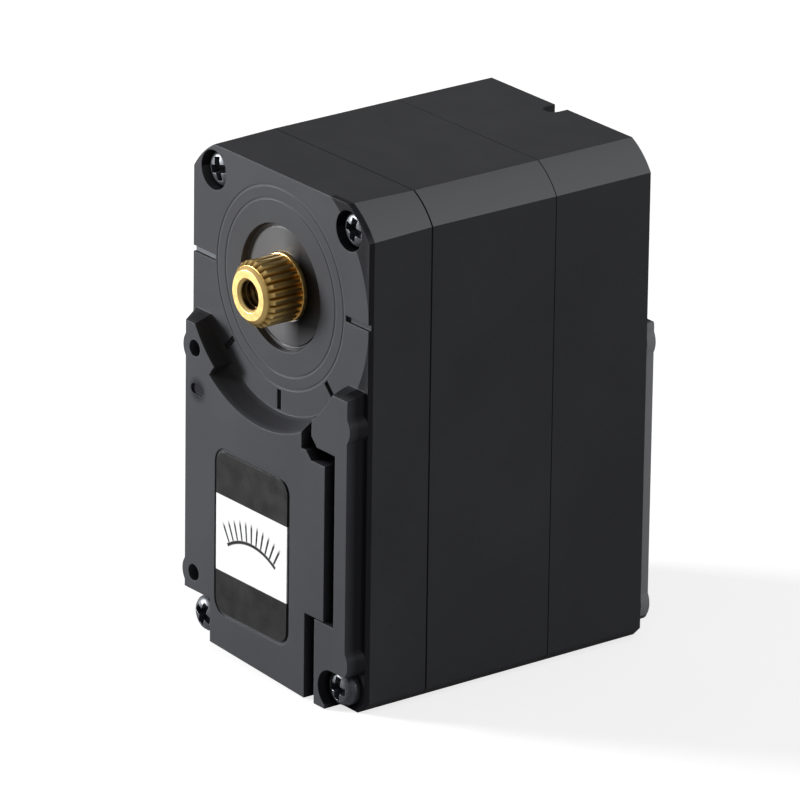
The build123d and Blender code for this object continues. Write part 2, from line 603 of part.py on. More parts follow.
def front_cover():
    cover = tapered_case(
        case_outline(FRONT_BEVEL_WIDTH, FRONT_BEVEL_HEIGHT),
        case_outline(SEAM_BEVEL_WIDTH, SEAM_BEVEL_HEIGHT),
        0,
        FRONT_SEAM,
    )
    room = slab(cavity_outline(), WALL, FRONT_SEAM)
    notch_block = block(
        PANEL_LEFT + INNER_X + WALL,
        NOTCH_TOP - INNER_BOTTOM + WALL,
        WALL,
        NOTCH_DEPTH + WALL,
        (PANEL_LEFT - INNER_X + WALL) / 2,
        (NOTCH_TOP + INNER_BOTTOM + WALL) / 2,
    )
    bearing_boss = rod(BEARING_OUTER_RADIUS + WALL, WALL, BEARING_REAR)
    cover -= room - notch_block
    cover += [front_pad(), bearing_boss] + pin_bosses()
    cover -= rod(BEARING_OUTER_RADIUS + FIT_CLEARANCE, BEARING_FRONT, BEARING_REAR)
    washer_radius = BEARING_OUTER_RADIUS + WASHER_RIM_INSET
    cover -= rod(washer_radius + FIT_CLEARANCE, 0, BEARING_FRONT)
    for radius in RING_RADII:
        half = RING_GROOVE_WIDTH / 2
        cover -= tube(radius + half, radius - half, 0, RING_GROOVE_DEPTH)
    for angle in FRONT_TICK_ANGLES:
        outer = TICK_OUTER_RADIUS if angle % 180 else HALF_WIDTH
        cover -= tick_groove(angle, TICK_INNER_RADIUS, outer, TICK_WIDTH, TICK_DEPTH, 0, 1)
    for z in PAD_HOLE_Z:
        cover -= rod(PAD_HOLE_RADIUS, -PAD_HEIGHT, PAD_HOLE_DEPTH - PAD_HEIGHT, PAD_HOLE_X, z)
    dimple = Pos(DIMPLE_X, DIMPLE_Z) * SlotOverall(DIMPLE_LENGTH, DIMPLE_WIDTH)
    cover -= slab(dimple, -PAD_HEIGHT, DIMPLE_DEPTH - PAD_HEIGHT)
    cover -= slab(pad_slot() - Circle(ARC_FOOT_RADIUS), 0, SLOT_SINK)
    pocket = RectangleRounded(
        LABEL_WIDTH + 2 * LABEL_MARGIN, LABEL_HEIGHT + 2 * LABEL_MARGIN, LABEL_CORNER + LABEL_MARGIN
    )
    cover -= slab(Pos(LABEL_X, LABEL_Z) * pocket, -PAD_HEIGHT, LABEL_POCKET_DEPTH - PAD_HEIGHT)
    cover -= [corner_notch(), right_corner_opening()]
    cover -= screw_counterbores()
    cover -= screw_holes(0, FRONT_SEAM, SCREW_RADIUS + SHANK_CLEARANCE)
    pin_hole = PIN_RADIUS + FIT_CLEARANCE
    cover -= rod(pin_hole, WALL, FRONT_SEAM, LEFT_PIN_X, LEFT_PIN_Z)
    cover -= rod(pin_hole, WALL, FRONT_SEAM, RIGHT_PIN_X, RIGHT_PIN_Z)
    return cover


def front_label():
    """Plain printed film in the panel's shallow pocket."""
    front = LABEL_POCKET_DEPTH - PAD_HEIGHT - LABEL_THICKNESS
    film = RectangleRounded(LABEL_WIDTH, LABEL_HEIGHT, LABEL_CORNER)
    return slab(Pos(LABEL_X, LABEL_Z) * film, front, front + LABEL_THICKNESS)


# Middle case

def motor_screw_places():
    offset = MOTOR_SCREW_SPACING / 2
    return ((MOTOR_X, MOTOR_Z + offset), (MOTOR_X, MOTOR_Z - offset))


def middle_case():
    case = slab(case_outline(SEAM_BEVEL_WIDTH, SEAM_BEVEL_HEIGHT), FRONT_SEAM, REAR_SEAM)
    case -= slab(cavity_outline(), FRONT_SEAM, DECK_FRONT)
    case -= slab(cavity_outline(), DECK_REAR, REAR_SEAM)
    case += rod(BUSH_RADIUS + BUSH_BOSS_WALL, DECK_FRONT, DECK_FRONT + BUSH_LENGTH)
    case -= rod(BUSH_RADIUS + FIT_CLEARANCE, DECK_FRONT, DECK_FRONT + BUSH_LENGTH)
    right_boss_front = SECOND_WHEEL_REAR + LEVEL_GAP / 3
    case += rod(REAR_PIN_BOSS_RADIUS, right_boss_front, DECK_FRONT, RIGHT_PIN_X, RIGHT_PIN_Z)
    pin_hole = PIN_RADIUS + FIT_CLEARANCE
    pin_end = DECK_FRONT + PIN_SEAT_DEPTH
    case -= rod(pin_hole, right_boss_front, pin_end, RIGHT_PIN_X, RIGHT_PIN_Z)
    case -= rod(pin_hole, DECK_FRONT, pin_end, LEFT_PIN_X, LEFT_PIN_Z)
    case -= rod(MOTOR_BOSS_RADIUS + FIT_CLEARANCE, DECK_FRONT, DECK_REAR, MOTOR_X, MOTOR_Z)
    for x, z in motor_screw_places():
        head_rear = DECK_FRONT + MOTOR_SCREW_HEAD_HEIGHT
        case -= rod(MOTOR_SCREW_HEAD_RADIUS + SHANK_CLEARANCE, DECK_FRONT, head_rear, x, z)
        case -= rod(MOTOR_SCREW_RADIUS + SHANK_CLEARANCE, DECK_FRONT, DECK_REAR, x, z)
    case -= screw_holes(FRONT_SEAM, REAR_SEAM, SCREW_RADIUS + SHANK_CLEARANCE)
    return case


# Rear cover

def rear_rail(side):
    """Raised rail with two screw ears; side is 1 on the right and -1 on the left."""
    top = CASE_DEPTH + REAR_RAIL_HEIGHT
    inner = REAR_RAIL_OUTER - REAR_RAIL_WIDTH
    middle_x = side * (REAR_RAIL_OUTER + inner) / 2
    height = REAR_RAIL_TOP - REAR_RAIL_BOTTOM
    bar = RectangleRounded(REAR_RAIL_WIDTH, height, REAR_RAIL_WIDTH / 3)
    outline = Pos(middle_x, (REAR_RAIL_TOP + REAR_RAIL_BOTTOM) / 2) * bar
    for z in REAR_HOLE_Z:
        outline += Pos(side * REAR_HOLE_X, z) * Circle(REAR_EAR_RADIUS)
    rail = slab(outline, CASE_DEPTH, top)
    slope = Plane.YZ.offset(-HALF_WIDTH - WALL) * polygon(
        (CASE_DEPTH, REAR_RAIL_TOP), (top, REAR_RAIL_TOP), (top, REAR_RAIL_TOP - REAR_RAIL_SLOPE)
    )
    return rail - extrude(slope, amount=2 * (HALF_WIDTH + WALL))


def socket_places():
    return (-SOCKET_SPACING / 2, SOCKET_SPACING / 2)


def rear_cover():
    cover = tapered_case(
        case_outline(SEAM_BEVEL_WIDTH, SEAM_BEVEL_HEIGHT),
        case_outline(REAR_BEVEL_WIDTH, REAR_BEVEL_HEIGHT),
        REAR_SEAM,
        CASE_DEPTH,
    )
    cover -= slab(cavity_outline(), REAR_SEAM, REAR_WALL_FRONT)
    cover += [rear_rail(-1), rear_rail(1)]
    hub_radius = PIVOT_HOLE_RADIUS + PIVOT_HUB_WALL
    cover += rod(PIVOT_RADIUS, CASE_DEPTH, CASE_DEPTH + PIVOT_HEIGHT)
    cover += rod(hub_radius, BOARD_REAR + PART_GAP, REAR_WALL_FRONT)
    pivot_rear = CASE_DEPTH + PIVOT_HEIGHT
    pivot_floor = max(pivot_rear - PIVOT_HOLE_DEPTH, BOARD_REAR + 2 * PART_GAP)
    cover -= rod(PIVOT_HOLE_RADIUS, pivot_floor, pivot_rear)
    for x, z in BOARD_SCREW_PLACES:
        cover += rod(BOARD_POST_RADIUS, BOARD_REAR, REAR_WALL_FRONT, x, z)
        screw_end = BOARD_FRONT + BOARD_SCREW_LENGTH
        cover -= rod(BOARD_SCREW_RADIUS + FIT_CLEARANCE, BOARD_REAR, screw_end, x, z)
    for angle in REAR_TICK_ANGLES:
        outer = TICK_OUTER_RADIUS
        cover -= tick_groove(angle, TICK_INNER_RADIUS, outer, TICK_WIDTH, TICK_DEPTH, CASE_DEPTH, -1)
    for radius in RING_RADII:
        half = RING_GROOVE_WIDTH / 2
        cover -= tube(radius + half, radius - half, CASE_DEPTH - RING_GROOVE_DEPTH, CASE_DEPTH)
    top_tick = SlotOverall(2 * TOP_TICK_DEPTH + TOP_TICK_WIDTH, TOP_TICK_WIDTH)
    tick_plane = Plane(origin=(0, CASE_DEPTH, TICK_INNER_RADIUS), x_dir=(0, 1, 0), z_dir=(0, 0, 1))
    cover -= extrude(tick_plane * top_tick, amount=AXIS_TO_TOP)
    for x in socket_places():
        width = SOCKET_WIDTH + 2 * OPENING_CLEARANCE
        height = SOCKET_HEIGHT + 2 * OPENING_CLEARANCE
        cover -= block(width, height, REAR_WALL_FRONT, CASE_DEPTH, x, SOCKET_Z)
    for side in (-1, 1):
        for z in REAR_HOLE_Z:
            top = CASE_DEPTH + REAR_RAIL_HEIGHT
            cover -= rod(PAD_HOLE_RADIUS, top - REAR_HOLE_DEPTH, top, side * REAR_HOLE_X, z)
    cover -= screw_holes(REAR_SEAM, SCREW_END + PART_GAP, SCREW_RADIUS + FIT_CLEARANCE)
    return cover


# Fasteners

def pan_screw(head_front, x, z):
    """Case screw: domed pan head in front, long shank behind."""
    head_rear = head_front + SCREW_HEAD_HEIGHT
    head = rod(SCREW_HEAD_RADIUS, head_front, head_rear, x, z)
    head = fillet(head.edges().group_by(Axis.Y)[0], SCREW_HEAD_ROUND)
    return head + rod(SCREW_RADIUS, head_rear, SCREW_END, x, z)


def case_screws():
    screws = [pan_screw(front, x, z) for front, (x, z) in zip(HEAD_FRONTS, CASE_SCREWS)]
    return Compound(children=screws)


def motor_screws():
    screws = []
    for x, z in motor_screw_places():
        head_rear = DECK_FRONT + MOTOR_SCREW_HEAD_HEIGHT
        end = DECK_REAR + MOTOR_FACE
        head = rod(MOTOR_SCREW_HEAD_RADIUS, DECK_FRONT, head_rear, x, z)
        screws.append(head + rod(MOTOR_SCREW_RADIUS, head_rear, end, x, z))
    return Compound(children=screws)


def board_screws():
    screws = []
    for x, z in BOARD_SCREW_PLACES:
        head = rod(BOARD_SCREW_HEAD_RADIUS, BOARD_FRONT - BOARD_SCREW_HEAD_HEIGHT, BOARD_FRONT, x, z)
        shank = rod(BOARD_SCREW_RADIUS, BOARD_FRONT, BOARD_FRONT + BOARD_SCREW_LENGTH, x, z)
        screws.append(head + shank)
    return Compound(children=screws)


# Gears

def involute(angle):
    return tan(angle) - angle


def gear_outline(teeth, module, shift, tooth_angle):
    """Spur gear outline; one tooth is centred on tooth_angle, in radians from +X toward +Z."""
    pitch_radius = module * teeth / 2
    base_radius = pitch_radius * cos(PRESSURE_ANGLE)
    tip_radius = pitch_radius + module * (1 + shift)
    root_radius = pitch_radius - module * (1.25 - shift)
    half_tooth = (pi / 2 + 2 * shift * tan(PRESSURE_ANGLE)) / teeth - BACKLASH / (4 * pitch_radius)
    flank_start = max(base_radius, root_radius)
    flank = []
    for step in range(FLANK_POINTS):
        radius = flank_start + (tip_radius - flank_start) * step / (FLANK_POINTS - 1)
        roll = acos(min(1, base_radius / radius))
        flank.append((radius, half_tooth + involute(PRESSURE_ANGLE) - involute(roll)))
    if root_radius < base_radius:
        flank.insert(0, (root_radius, flank[0][1]))
    points = []
    for tooth in range(teeth):
        centre = tooth_angle + 2 * pi * tooth / teeth
        rising = [(radius, centre - half) for radius, half in flank]
        falling = [(radius, centre + half) for radius, half in reversed(flank)]
        points += [(radius * cos(turn), radius * sin(turn)) for radius, turn in rising + falling]
    return polygon(*points)


def line_angle(from_x, from_z, to_x, to_z):
    return atan2(to_z - from_z, to_x - from_x)


MOTOR_TO_LEFT = line_angle(MOTOR_X, MOTOR_Z, LEFT_PIN_X, LEFT_PIN_Z)
LEFT_TO_RIGHT = line_angle(LEFT_PIN_X, LEFT_PIN_Z, RIGHT_PIN_X, RIGHT_PIN_Z)
LEFT_TO_OUTPUT = line_angle(LEFT_PIN_X, LEFT_PIN_Z, 0, 0)


def spur(teeth, module, shift, tooth_angle, front, rear, x=0, z=0):
    return slab(Pos(x, z) * gear_outline(teeth, module, shift, tooth_angle), front, rear)


def facing(angle, teeth):
    """Angle at which a wheel's tooth sits so that a gap faces a tooth coming from angle."""
    return angle + pi + pi / teeth


def lightening_holes(front, rear, hub_radius, rim_radius, x, z):
    """Ring of round holes through a wheel's web."""
    middle = (hub_radius + rim_radius) / 2
    holes = Pos(x, z) * (Sketch() + PolarLocations(middle, WHEEL_HOLES) * Circle(WHEEL_HOLE_RADIUS))
    return slab(holes, front, rear)


def compound_gear(pinion, pinion_front, wheel_angle, pinion_angle, wheel_front, wheel_rear, x, z):
    """Wheel with a pinion in front of it and a bore for its pin."""
    teeth, module = pinion
    wheel = spur(
        FINE_WHEEL_TEETH, FINE_MODULE, -PROFILE_SHIFT, wheel_angle, wheel_front, wheel_rear, x, z
    )
    rim_radius = FINE_MODULE * FINE_WHEEL_TEETH / 2 - 3 * FINE_MODULE
    hub_radius = module * teeth / 2 + 2 * module
    wheel -= lightening_holes(wheel_front, wheel_rear, hub_radius, rim_radius, x, z)
    wheel += spur(teeth, module, PROFILE_SHIFT, pinion_angle, pinion_front, wheel_front, x, z)
    return wheel - rod(PIN_RADIUS + RUNNING_CLEARANCE, pinion_front, wheel_rear, x, z)


def first_gear():
    """Wheel driven by the motor; runs on the left pin, next to the deck."""
    gear = compound_gear(
        (FINE_PINION_TEETH, FINE_MODULE),
        SECOND_WHEEL_FRONT - PINION_OVERHANG,
        facing(MOTOR_TO_LEFT, FINE_WHEEL_TEETH),
        LEFT_TO_RIGHT,
        FIRST_WHEEL_FRONT,
        FIRST_WHEEL_REAR,
        LEFT_PIN_X,
        LEFT_PIN_Z,
    )
    hub_rear = DECK_FRONT - LEVEL_GAP / 3
    bore = PIN_RADIUS + RUNNING_CLEARANCE
    hub = tube(REAR_PIN_BOSS_RADIUS, bore, FIRST_WHEEL_REAR, hub_rear, LEFT_PIN_X, LEFT_PIN_Z)
    return gear + hub


def second_gear():
    """Runs on the right pin."""
    return compound_gear(
        (FINE_PINION_TEETH, FINE_MODULE),
        THIRD_WHEEL_FRONT - PINION_OVERHANG,
        facing(LEFT_TO_RIGHT, FINE_WHEEL_TEETH),
        LEFT_TO_RIGHT + pi,
        SECOND_WHEEL_FRONT,
        SECOND_WHEEL_REAR,
        RIGHT_PIN_X,
        RIGHT_PIN_Z,
    )


def third_gear():
    """Runs on the left pin in front of the first gear and drives the output wheel."""
    return compound_gear(
        (COARSE_PINION_TEETH, COARSE_MODULE),
        OUTPUT_WHEEL_FRONT - PINION_OVERHANG,
        facing(LEFT_TO_RIGHT + pi, FINE_WHEEL_TEETH),
        LEFT_TO_OUTPUT,
        THIRD_WHEEL_FRONT,
        THIRD_WHEEL_REAR,
        LEFT_PIN_X,
        LEFT_PIN_Z,
    )


def output_gear():
    """Wide wheel pressed on the output shaft against its collar."""
    phase = facing(LEFT_TO_OUTPUT, OUTPUT_TEETH)
    wheel = spur(OUTPUT_TEETH, COARSE_MODULE, -PROFILE_SHIFT, phase, OUTPUT_WHEEL_FRONT, OUTPUT_WHEEL_REAR)
    return wheel - rod(SHAFT_GEAR_SEAT_RADIUS, OUTPUT_WHEEL_FRONT, OUTPUT_WHEEL_REAR)


def motor_pinion():
    front = FIRST_WHEEL_FRONT - PINION_OVERHANG
    rear = FIRST_WHEEL_REAR + PINION_OVERHANG
    pinion = spur(
        FINE_PINION_TEETH, FINE_MODULE, PROFILE_SHIFT, MOTOR_TO_LEFT, front, rear, MOTOR_X, MOTOR_Z
    )
    return pinion - rod(MOTOR_SHAFT_RADIUS, front, rear, MOTOR_X, MOTOR_Z)


def left_gear_pin():
    return rod(PIN_RADIUS, WALL + PART_GAP, DECK_FRONT + PIN_SEAT_DEPTH - PART_GAP, LEFT_PIN_X, LEFT_PIN_Z)


def right_gear_pin():
    return rod(PIN_RADIUS, WALL + PART_GAP, DECK_FRONT + PIN_SEAT_DEPTH - PART_GAP, RIGHT_PIN_X, RIGHT_PIN_Z)


# Output shaft and its bearings

def spline_outline():
    """Fine pointed teeth with slightly blunt crests."""
    points = []
    root = SPLINE_RADIUS - SPLINE_TOOTH_HEIGHT
    pitch = 2 * pi / SPLINE_TEETH
    crest = pitch / 8
    for tooth in range(SPLINE_TEETH):
        centre = tooth * pitch
        for radius, turn in ((SPLINE_RADIUS, -crest), (SPLINE_RADIUS, crest), (root, pitch / 2)):
            points.append((radius * cos(centre + turn), radius * sin(centre + turn)))
    return polygon(*points)


def stem_outline(radius):
    """Round with one flat, for the sensor stem and its socket."""
    flat_x = radius - SENSOR_STEM_FLAT + radius
    return Circle(radius) - Pos(flat_x, 0) * Rectangle(2 * radius, 2 * radius)


def output_shaft():
    """One brass piece from the splined tip to the socket for the sensor stem."""
    tip_radius = SPLINE_RADIUS - TIP_CHAMFER
    envelope = polygon(
        (0, SHAFT_TIP),
        (tip_radius, SHAFT_TIP),
        (SPLINE_RADIUS, SHAFT_TIP + TIP_CHAMFER),
        (SPLINE_RADIUS, SPLINE_REAR),
        (0, SPLINE_REAR),
    )
    shaft = slab(spline_outline(), SHAFT_TIP, SPLINE_REAR) & revolve(envelope, Axis.Y)
    middle_end = FIRST_WHEEL_FRONT - LEVEL_GAP
    shaft += rod(BEARING_BORE_RADIUS, SPLINE_REAR, BEARING_REAR)
    shaft += rod(SHAFT_COLLAR_RADIUS, BEARING_REAR, OUTPUT_WHEEL_FRONT)
    shaft += rod(SHAFT_GEAR_SEAT_RADIUS, OUTPUT_WHEEL_FRONT, OUTPUT_WHEEL_REAR)
    shaft += rod(SHAFT_MIDDLE_RADIUS, OUTPUT_WHEEL_REAR, middle_end)
    shaft += rod(SHAFT_REAR_RADIUS, middle_end, SHAFT_END)
    shaft -= rod(HORN_SCREW_RADIUS, SHAFT_TIP, SHAFT_TIP + HORN_SCREW_DEPTH)
    lip = HORN_SCREW_RADIUS + HORN_SCREW_COUNTERSINK
    lip_end = SHAFT_TIP + HORN_SCREW_COUNTERSINK
    countersink = polygon((0, SHAFT_TIP), (lip, SHAFT_TIP), (HORN_SCREW_RADIUS, lip_end), (0, lip_end))
    shaft -= revolve(countersink, Axis.Y)
    socket = stem_outline(SENSOR_STEM_RADIUS + FIT_CLEARANCE)
    return shaft - slab(socket, SHAFT_END - SENSOR_STEM_SEAT - PART_GAP, SHAFT_END)


def dust_washer():
    """Thin ring round the shaft that covers the bearing, with a groove near its rim."""
    outer = BEARING_OUTER_RADIUS + WASHER_RIM_INSET
    inner = BEARING_BORE_RADIUS + DUST_WASHER_CLEARANCE
    washer = tube(outer, inner, DUST_WASHER_RECESS, BEARING_FRONT)
    groove_outer = outer - WASHER_RIM_INSET / 2
    groove_inner = groove_outer - WASHER_RIM_WIDTH
    groove_rear = DUST_WASHER_RECESS + WASHER_RIM_DEPTH
    return washer - tube(groove_outer, groove_inner, DUST_WASHER_RECESS, groove_rear)


def ball_path_radius():
    return (BEARING_BORE_RADIUS + BEARING_OUTER_RADIUS) / 2


def ball_radius():
    """Ball that bridges both rings' races, each as deep as half a ring."""
    gap = BEARING_OUTER_RADIUS - BEARING_BORE_RADIUS - 2 * BEARING_RING_THICKNESS
    return gap / 2 + BEARING_RING_THICKNESS / 3


def race_groove():
    """Ring-shaped channel that the balls run in."""
    radius = ball_radius() + FIT_CLEARANCE
    section = Pos(ball_path_radius(), (BEARING_FRONT + BEARING_REAR) / 2) * Circle(radius)
    return revolve(section, Axis.Y)


def bearing_outer_ring():
    inner = BEARING_OUTER_RADIUS - BEARING_RING_THICKNESS
    return tube(BEARING_OUTER_RADIUS, inner, BEARING_FRONT, BEARING_REAR) - race_groove()


def bearing_inner_ring():
    outer = BEARING_BORE_RADIUS + BEARING_RING_THICKNESS
    return tube(outer, BEARING_BORE_RADIUS, BEARING_FRONT, BEARING_REAR) - race_groove()


def bearing_balls():
    middle = (BEARING_FRONT + BEARING_REAR) / 2
    balls = []
    for count in range(BEARING_BALLS):
        angle = 2 * pi * count / BEARING_BALLS
        path = ball_path_radius()
        balls.append(Pos(path * cos(angle), middle, path * sin(angle)) * Sphere(ball_radius()))
    return Compound(children=balls)


def rear_bush():
    return tube(BUSH_RADIUS, SHAFT_REAR_RADIUS + RUNNING_CLEARANCE, DECK_FRONT, DECK_FRONT + BUSH_LENGTH)


# Motor

def at_motor(shape):
    return Pos(MOTOR_X, 0, MOTOR_Z) * shape


def motor_can():
    """Drawn steel cup with its face against the deck and a boss in the deck's hole."""
    can = rod(MOTOR_RADIUS, DECK_REAR, MOTOR_REAR)
    can -= rod(MOTOR_RADIUS - MOTOR_WALL, DECK_REAR + MOTOR_FACE, MOTOR_REAR)
    can += rod(MOTOR_BOSS_RADIUS, DECK_REAR - MOTOR_BOSS_HEIGHT, DECK_REAR)
    bush_rear = DECK_REAR + MOTOR_FACE
    can -= rod(MOTOR_BUSH_RADIUS, DECK_REAR - MOTOR_BOSS_HEIGHT, bush_rear)
    can = at_motor(can)
    for x, z in motor_screw_places():
        can -= rod(MOTOR_SCREW_RADIUS, DECK_REAR, DECK_REAR + MOTOR_FACE, x, z)
    return can


def motor_front_bush():
    bore = MOTOR_SHAFT_RADIUS + RUNNING_CLEARANCE
    front = DECK_REAR - MOTOR_BOSS_HEIGHT
    return at_motor(tube(MOTOR_BUSH_RADIUS, bore, front, DECK_REAR + MOTOR_FACE))


def motor_rear_bush():
    bore = MOTOR_SHAFT_RADIUS + RUNNING_CLEARANCE
    return at_motor(tube(MOTOR_BUSH_RADIUS, bore, END_CAP_FRONT, MOTOR_REAR))


def motor_magnets():
    """Two curved ferrite segments on the inside of the can."""
    outer = MOTOR_RADIUS - MOTOR_WALL
    section = ((outer - MAGNET_THICKNESS, MAGNET_FRONT), (outer, MAGNET_FRONT))
    section += ((outer, MAGNET_REAR), (outer - MAGNET_THICKNESS, MAGNET_REAR))
    half = MAGNET_ARC / 2
    magnets = [at_motor(ring_sector(section, centre - half, centre + half)) for centre in (0, 180)]
    return Compound(children=magnets)


def armature_radius():
    return MOTOR_RADIUS - MOTOR_WALL - MAGNET_THICKNESS - AIR_GAP


def pole_angle(slot):
    return 360 * (slot + 0.5) / ARMATURE_SLOTS


def armature_core():
    """Stack of laminations with three poles, pressed on the motor shaft."""
    radius = armature_radius()
    core = Circle(radius) - Circle(MOTOR_SHAFT_RADIUS)
    room = Circle(radius - ARMATURE_RIM) - Circle(ARMATURE_STEM_RADIUS)
    pole = Pos(radius / 2, 0) * Rectangle(radius, ARMATURE_STEM_RADIUS)
    opening = Pos(radius - ARMATURE_RIM / 2, 0) * Rectangle(2 * ARMATURE_RIM, ARMATURE_SLOT_WIDTH)
    for slot in range(ARMATURE_SLOTS):
        room -= Rot(0, 0, pole_angle(slot)) * pole
        core -= Rot(0, 0, pole_angle(slot - 0.5)) * opening
    return at_motor(slab(core - room, ARMATURE_FRONT, ARMATURE_REAR))


def armature_windings():
    """Wound copper in the three spaces between the poles."""
    outer = armature_radius() - ARMATURE_RIM - WINDING_CLEARANCE
    inner = ARMATURE_STEM_RADIUS + WINDING_CLEARANCE
    ring = Circle(outer) - Circle(inner)
    pole_width = ARMATURE_STEM_RADIUS + 2 * WINDING_CLEARANCE
    pole = Pos(outer / 2, 0) * Rectangle(outer, pole_width)
    for slot in range(ARMATURE_SLOTS):
        ring -= Rot(0, 0, pole_angle(slot)) * pole
    return at_motor(slab(ring, ARMATURE_FRONT, ARMATURE_REAR))


def motor_commutator():
    front = ARMATURE_REAR
    rear = front + COMMUTATOR_LENGTH
    return at_motor(tube(COMMUTATOR_RADIUS, MOTOR_SHAFT_RADIUS, front, rear))


def motor_shaft():
    front = FIRST_WHEEL_FRONT - PINION_OVERHANG
    return rod(MOTOR_SHAFT_RADIUS, front, MOTOR_REAR - PART_GAP, MOTOR_X, MOTOR_Z)


def motor_end_cap():
    """Moulded cap that closes the can and holds the brushes and the rear bush."""
    cap = rod(MOTOR_RADIUS - MOTOR_WALL, END_CAP_FRONT, MOTOR_REAR)
    cap -= rod(MOTOR_BUSH_RADIUS, END_CAP_FRONT, MOTOR_REAR)
    thickness = TERMINAL_THICKNESS + FIT_CLEARANCE
    width = TERMINAL_WIDTH + FIT_CLEARANCE
    for x in (-TERMINAL_OFFSET, TERMINAL_OFFSET):
        cap -= block(thickness, width, END_CAP_FRONT, MOTOR_REAR, x)
    return at_motor(cap)


def motor_brushes():
    """Two carbon blocks against the commutator, carried by the end cap."""
    brushes = []
    for side in (-1, 1):
        inner = COMMUTATOR_RADIUS + RUNNING_CLEARANCE
        middle = side * (inner + BRUSH_LENGTH / 2)
        front = END_CAP_FRONT - BRUSH_HEIGHT
        brushes.append(at_motor(block(BRUSH_LENGTH, BRUSH_WIDTH, front, END_CAP_FRONT, middle)))
    return Compound(children=brushes)


def motor_terminals():
    """Flat tabs from the end cap through the board."""
    tabs = []
    end = BOARD_REAR + PART_GAP
    for x in (-TERMINAL_OFFSET, TERMINAL_OFFSET):
        tab = block(TERMINAL_THICKNESS, TERMINAL_WIDTH, END_CAP_FRONT, end, x)
        tabs.append(at_motor(tab))
    return Compound(children=tabs)


# Position sensor

def sensor_body():
    """Round housing on the board with a flat chamber for the turning disc."""
    body = rod(SENSOR_RADIUS, SENSOR_FRONT, BOARD_FRONT)
    disc_front = SENSOR_FRONT + SENSOR_WALL
    disc_rear = disc_front + SENSOR_DISC_THICKNESS + 2 * PART_GAP
    body -= rod(SENSOR_DISC_RADIUS + PART_GAP, disc_front, disc_rear)
    return body - rod(SENSOR_STEM_RADIUS + RUNNING_CLEARANCE, SENSOR_FRONT, disc_front)


def sensor_rotor():
    """Stem keyed into the output shaft, and the disc that carries the wiper."""
    disc_front = SENSOR_FRONT + SENSOR_WALL + PART_GAP
    keyed = slab(stem_outline(SENSOR_STEM_RADIUS), SHAFT_END - SENSOR_STEM_SEAT, SHAFT_END)
    stem = rod(SENSOR_STEM_RADIUS, SHAFT_END, disc_front)
    return keyed + stem + rod(SENSOR_DISC_RADIUS, disc_front, disc_front + SENSOR_DISC_THICKNESS)


def sensor_pin_places():
    z = -SENSOR_RADIUS + SENSOR_WALL
    return [(x, z) for x in (-SENSOR_PIN_SPACING, 0, SENSOR_PIN_SPACING)]


def sensor_pins():
    pins = [rod(SENSOR_PIN_RADIUS, BOARD_FRONT, BOARD_REAR + PART_GAP, x, z) for x, z in sensor_pin_places()]
    return Compound(children=pins)


# Control board

def board_outline():
    width = 2 * (INNER_X - BOARD_EDGE_GAP)
    height = INNER_TOP - INNER_BOTTOM - 2 * BOARD_EDGE_GAP
    outline = Pos(0, (INNER_TOP + INNER_BOTTOM) / 2) * Rectangle(width, height)
    for x, z in CASE_SCREWS:
        outline -= Pos(x, z) * Circle(BOSS_RADIUS + BOARD_CORNER_GAP)
    return outline


def socket_pin_places():
    places = []
    for x in socket_places():
        places += [(x + step * SOCKET_PIN_SPACING, SOCKET_Z) for step in (-1, 0, 1)]
    return places


def main_board():
    board = slab(board_outline(), BOARD_FRONT, BOARD_REAR)
    for x, z in sensor_pin_places() + socket_pin_places():
        radius = SENSOR_PIN_RADIUS if z > SOCKET_Z else SOCKET_PIN_RADIUS
        board -= rod(radius + FIT_CLEARANCE, BOARD_FRONT, BOARD_REAR, x, z)
    thickness = TERMINAL_THICKNESS + FIT_CLEARANCE
    width = TERMINAL_WIDTH + FIT_CLEARANCE
    for x in (MOTOR_X - TERMINAL_OFFSET, MOTOR_X + TERMINAL_OFFSET):
        board -= block(thickness, width, BOARD_FRONT, BOARD_REAR, x, MOTOR_Z)
    for x, z in BOARD_SCREW_PLACES:
        board -= rod(BOARD_SCREW_RADIUS + SHANK_CLEARANCE, BOARD_FRONT, BOARD_REAR, x, z)
    return board


def on_board(width, length, height, x, z):
    """Component that stands on the rear side of the board."""
    return block(width, length, BOARD_REAR, BOARD_REAR + height, x, z)


def controller_chip():
    return on_board(CONTROLLER_SIZE, CONTROLLER_SIZE, CONTROLLER_HEIGHT, CONTROLLER_X, CONTROLLER_Z)


def driver_chip():
    return on_board(DRIVER_WIDTH, DRIVER_LENGTH, DRIVER_HEIGHT, DRIVER_X, DRIVER_Z)


def bulk_capacitor():
    return on_board(CAPACITOR_WIDTH, CAPACITOR_LENGTH, CAPACITOR_HEIGHT, CAPACITOR_X, CAPACITOR_Z)


def voltage_regulator():
    return on_board(REGULATOR_WIDTH, REGULATOR_LENGTH, REGULATOR_HEIGHT, REGULATOR_X, REGULATOR_Z)


def socket(x):
    """Three-pin socket housing: open at the rear, with a key slot in its upper wall."""
    body = block(SOCKET_WIDTH, SOCKET_HEIGHT, BOARD_REAR, SOCKET_REAR, x, SOCKET_Z)
    floor = BOARD_REAR + SOCKET_FLOOR
    inner_width = SOCKET_WIDTH - 2 * SOCKET_WALL
    inner_height = SOCKET_HEIGHT - 2 * SOCKET_WALL
    body -= block(inner_width, inner_height, floor, SOCKET_REAR, x, SOCKET_Z)
    key_z = SOCKET_Z + (SOCKET_HEIGHT - SOCKET_WALL) / 2
    body -= block(SOCKET_KEY_WIDTH, SOCKET_WALL, floor, SOCKET_REAR, x, key_z)
    for pin_x, pin_z in socket_pin_places():
        body -= rod(SOCKET_PIN_RADIUS + FIT_CLEARANCE, BOARD_REAR, floor, pin_x, pin_z)
    return body


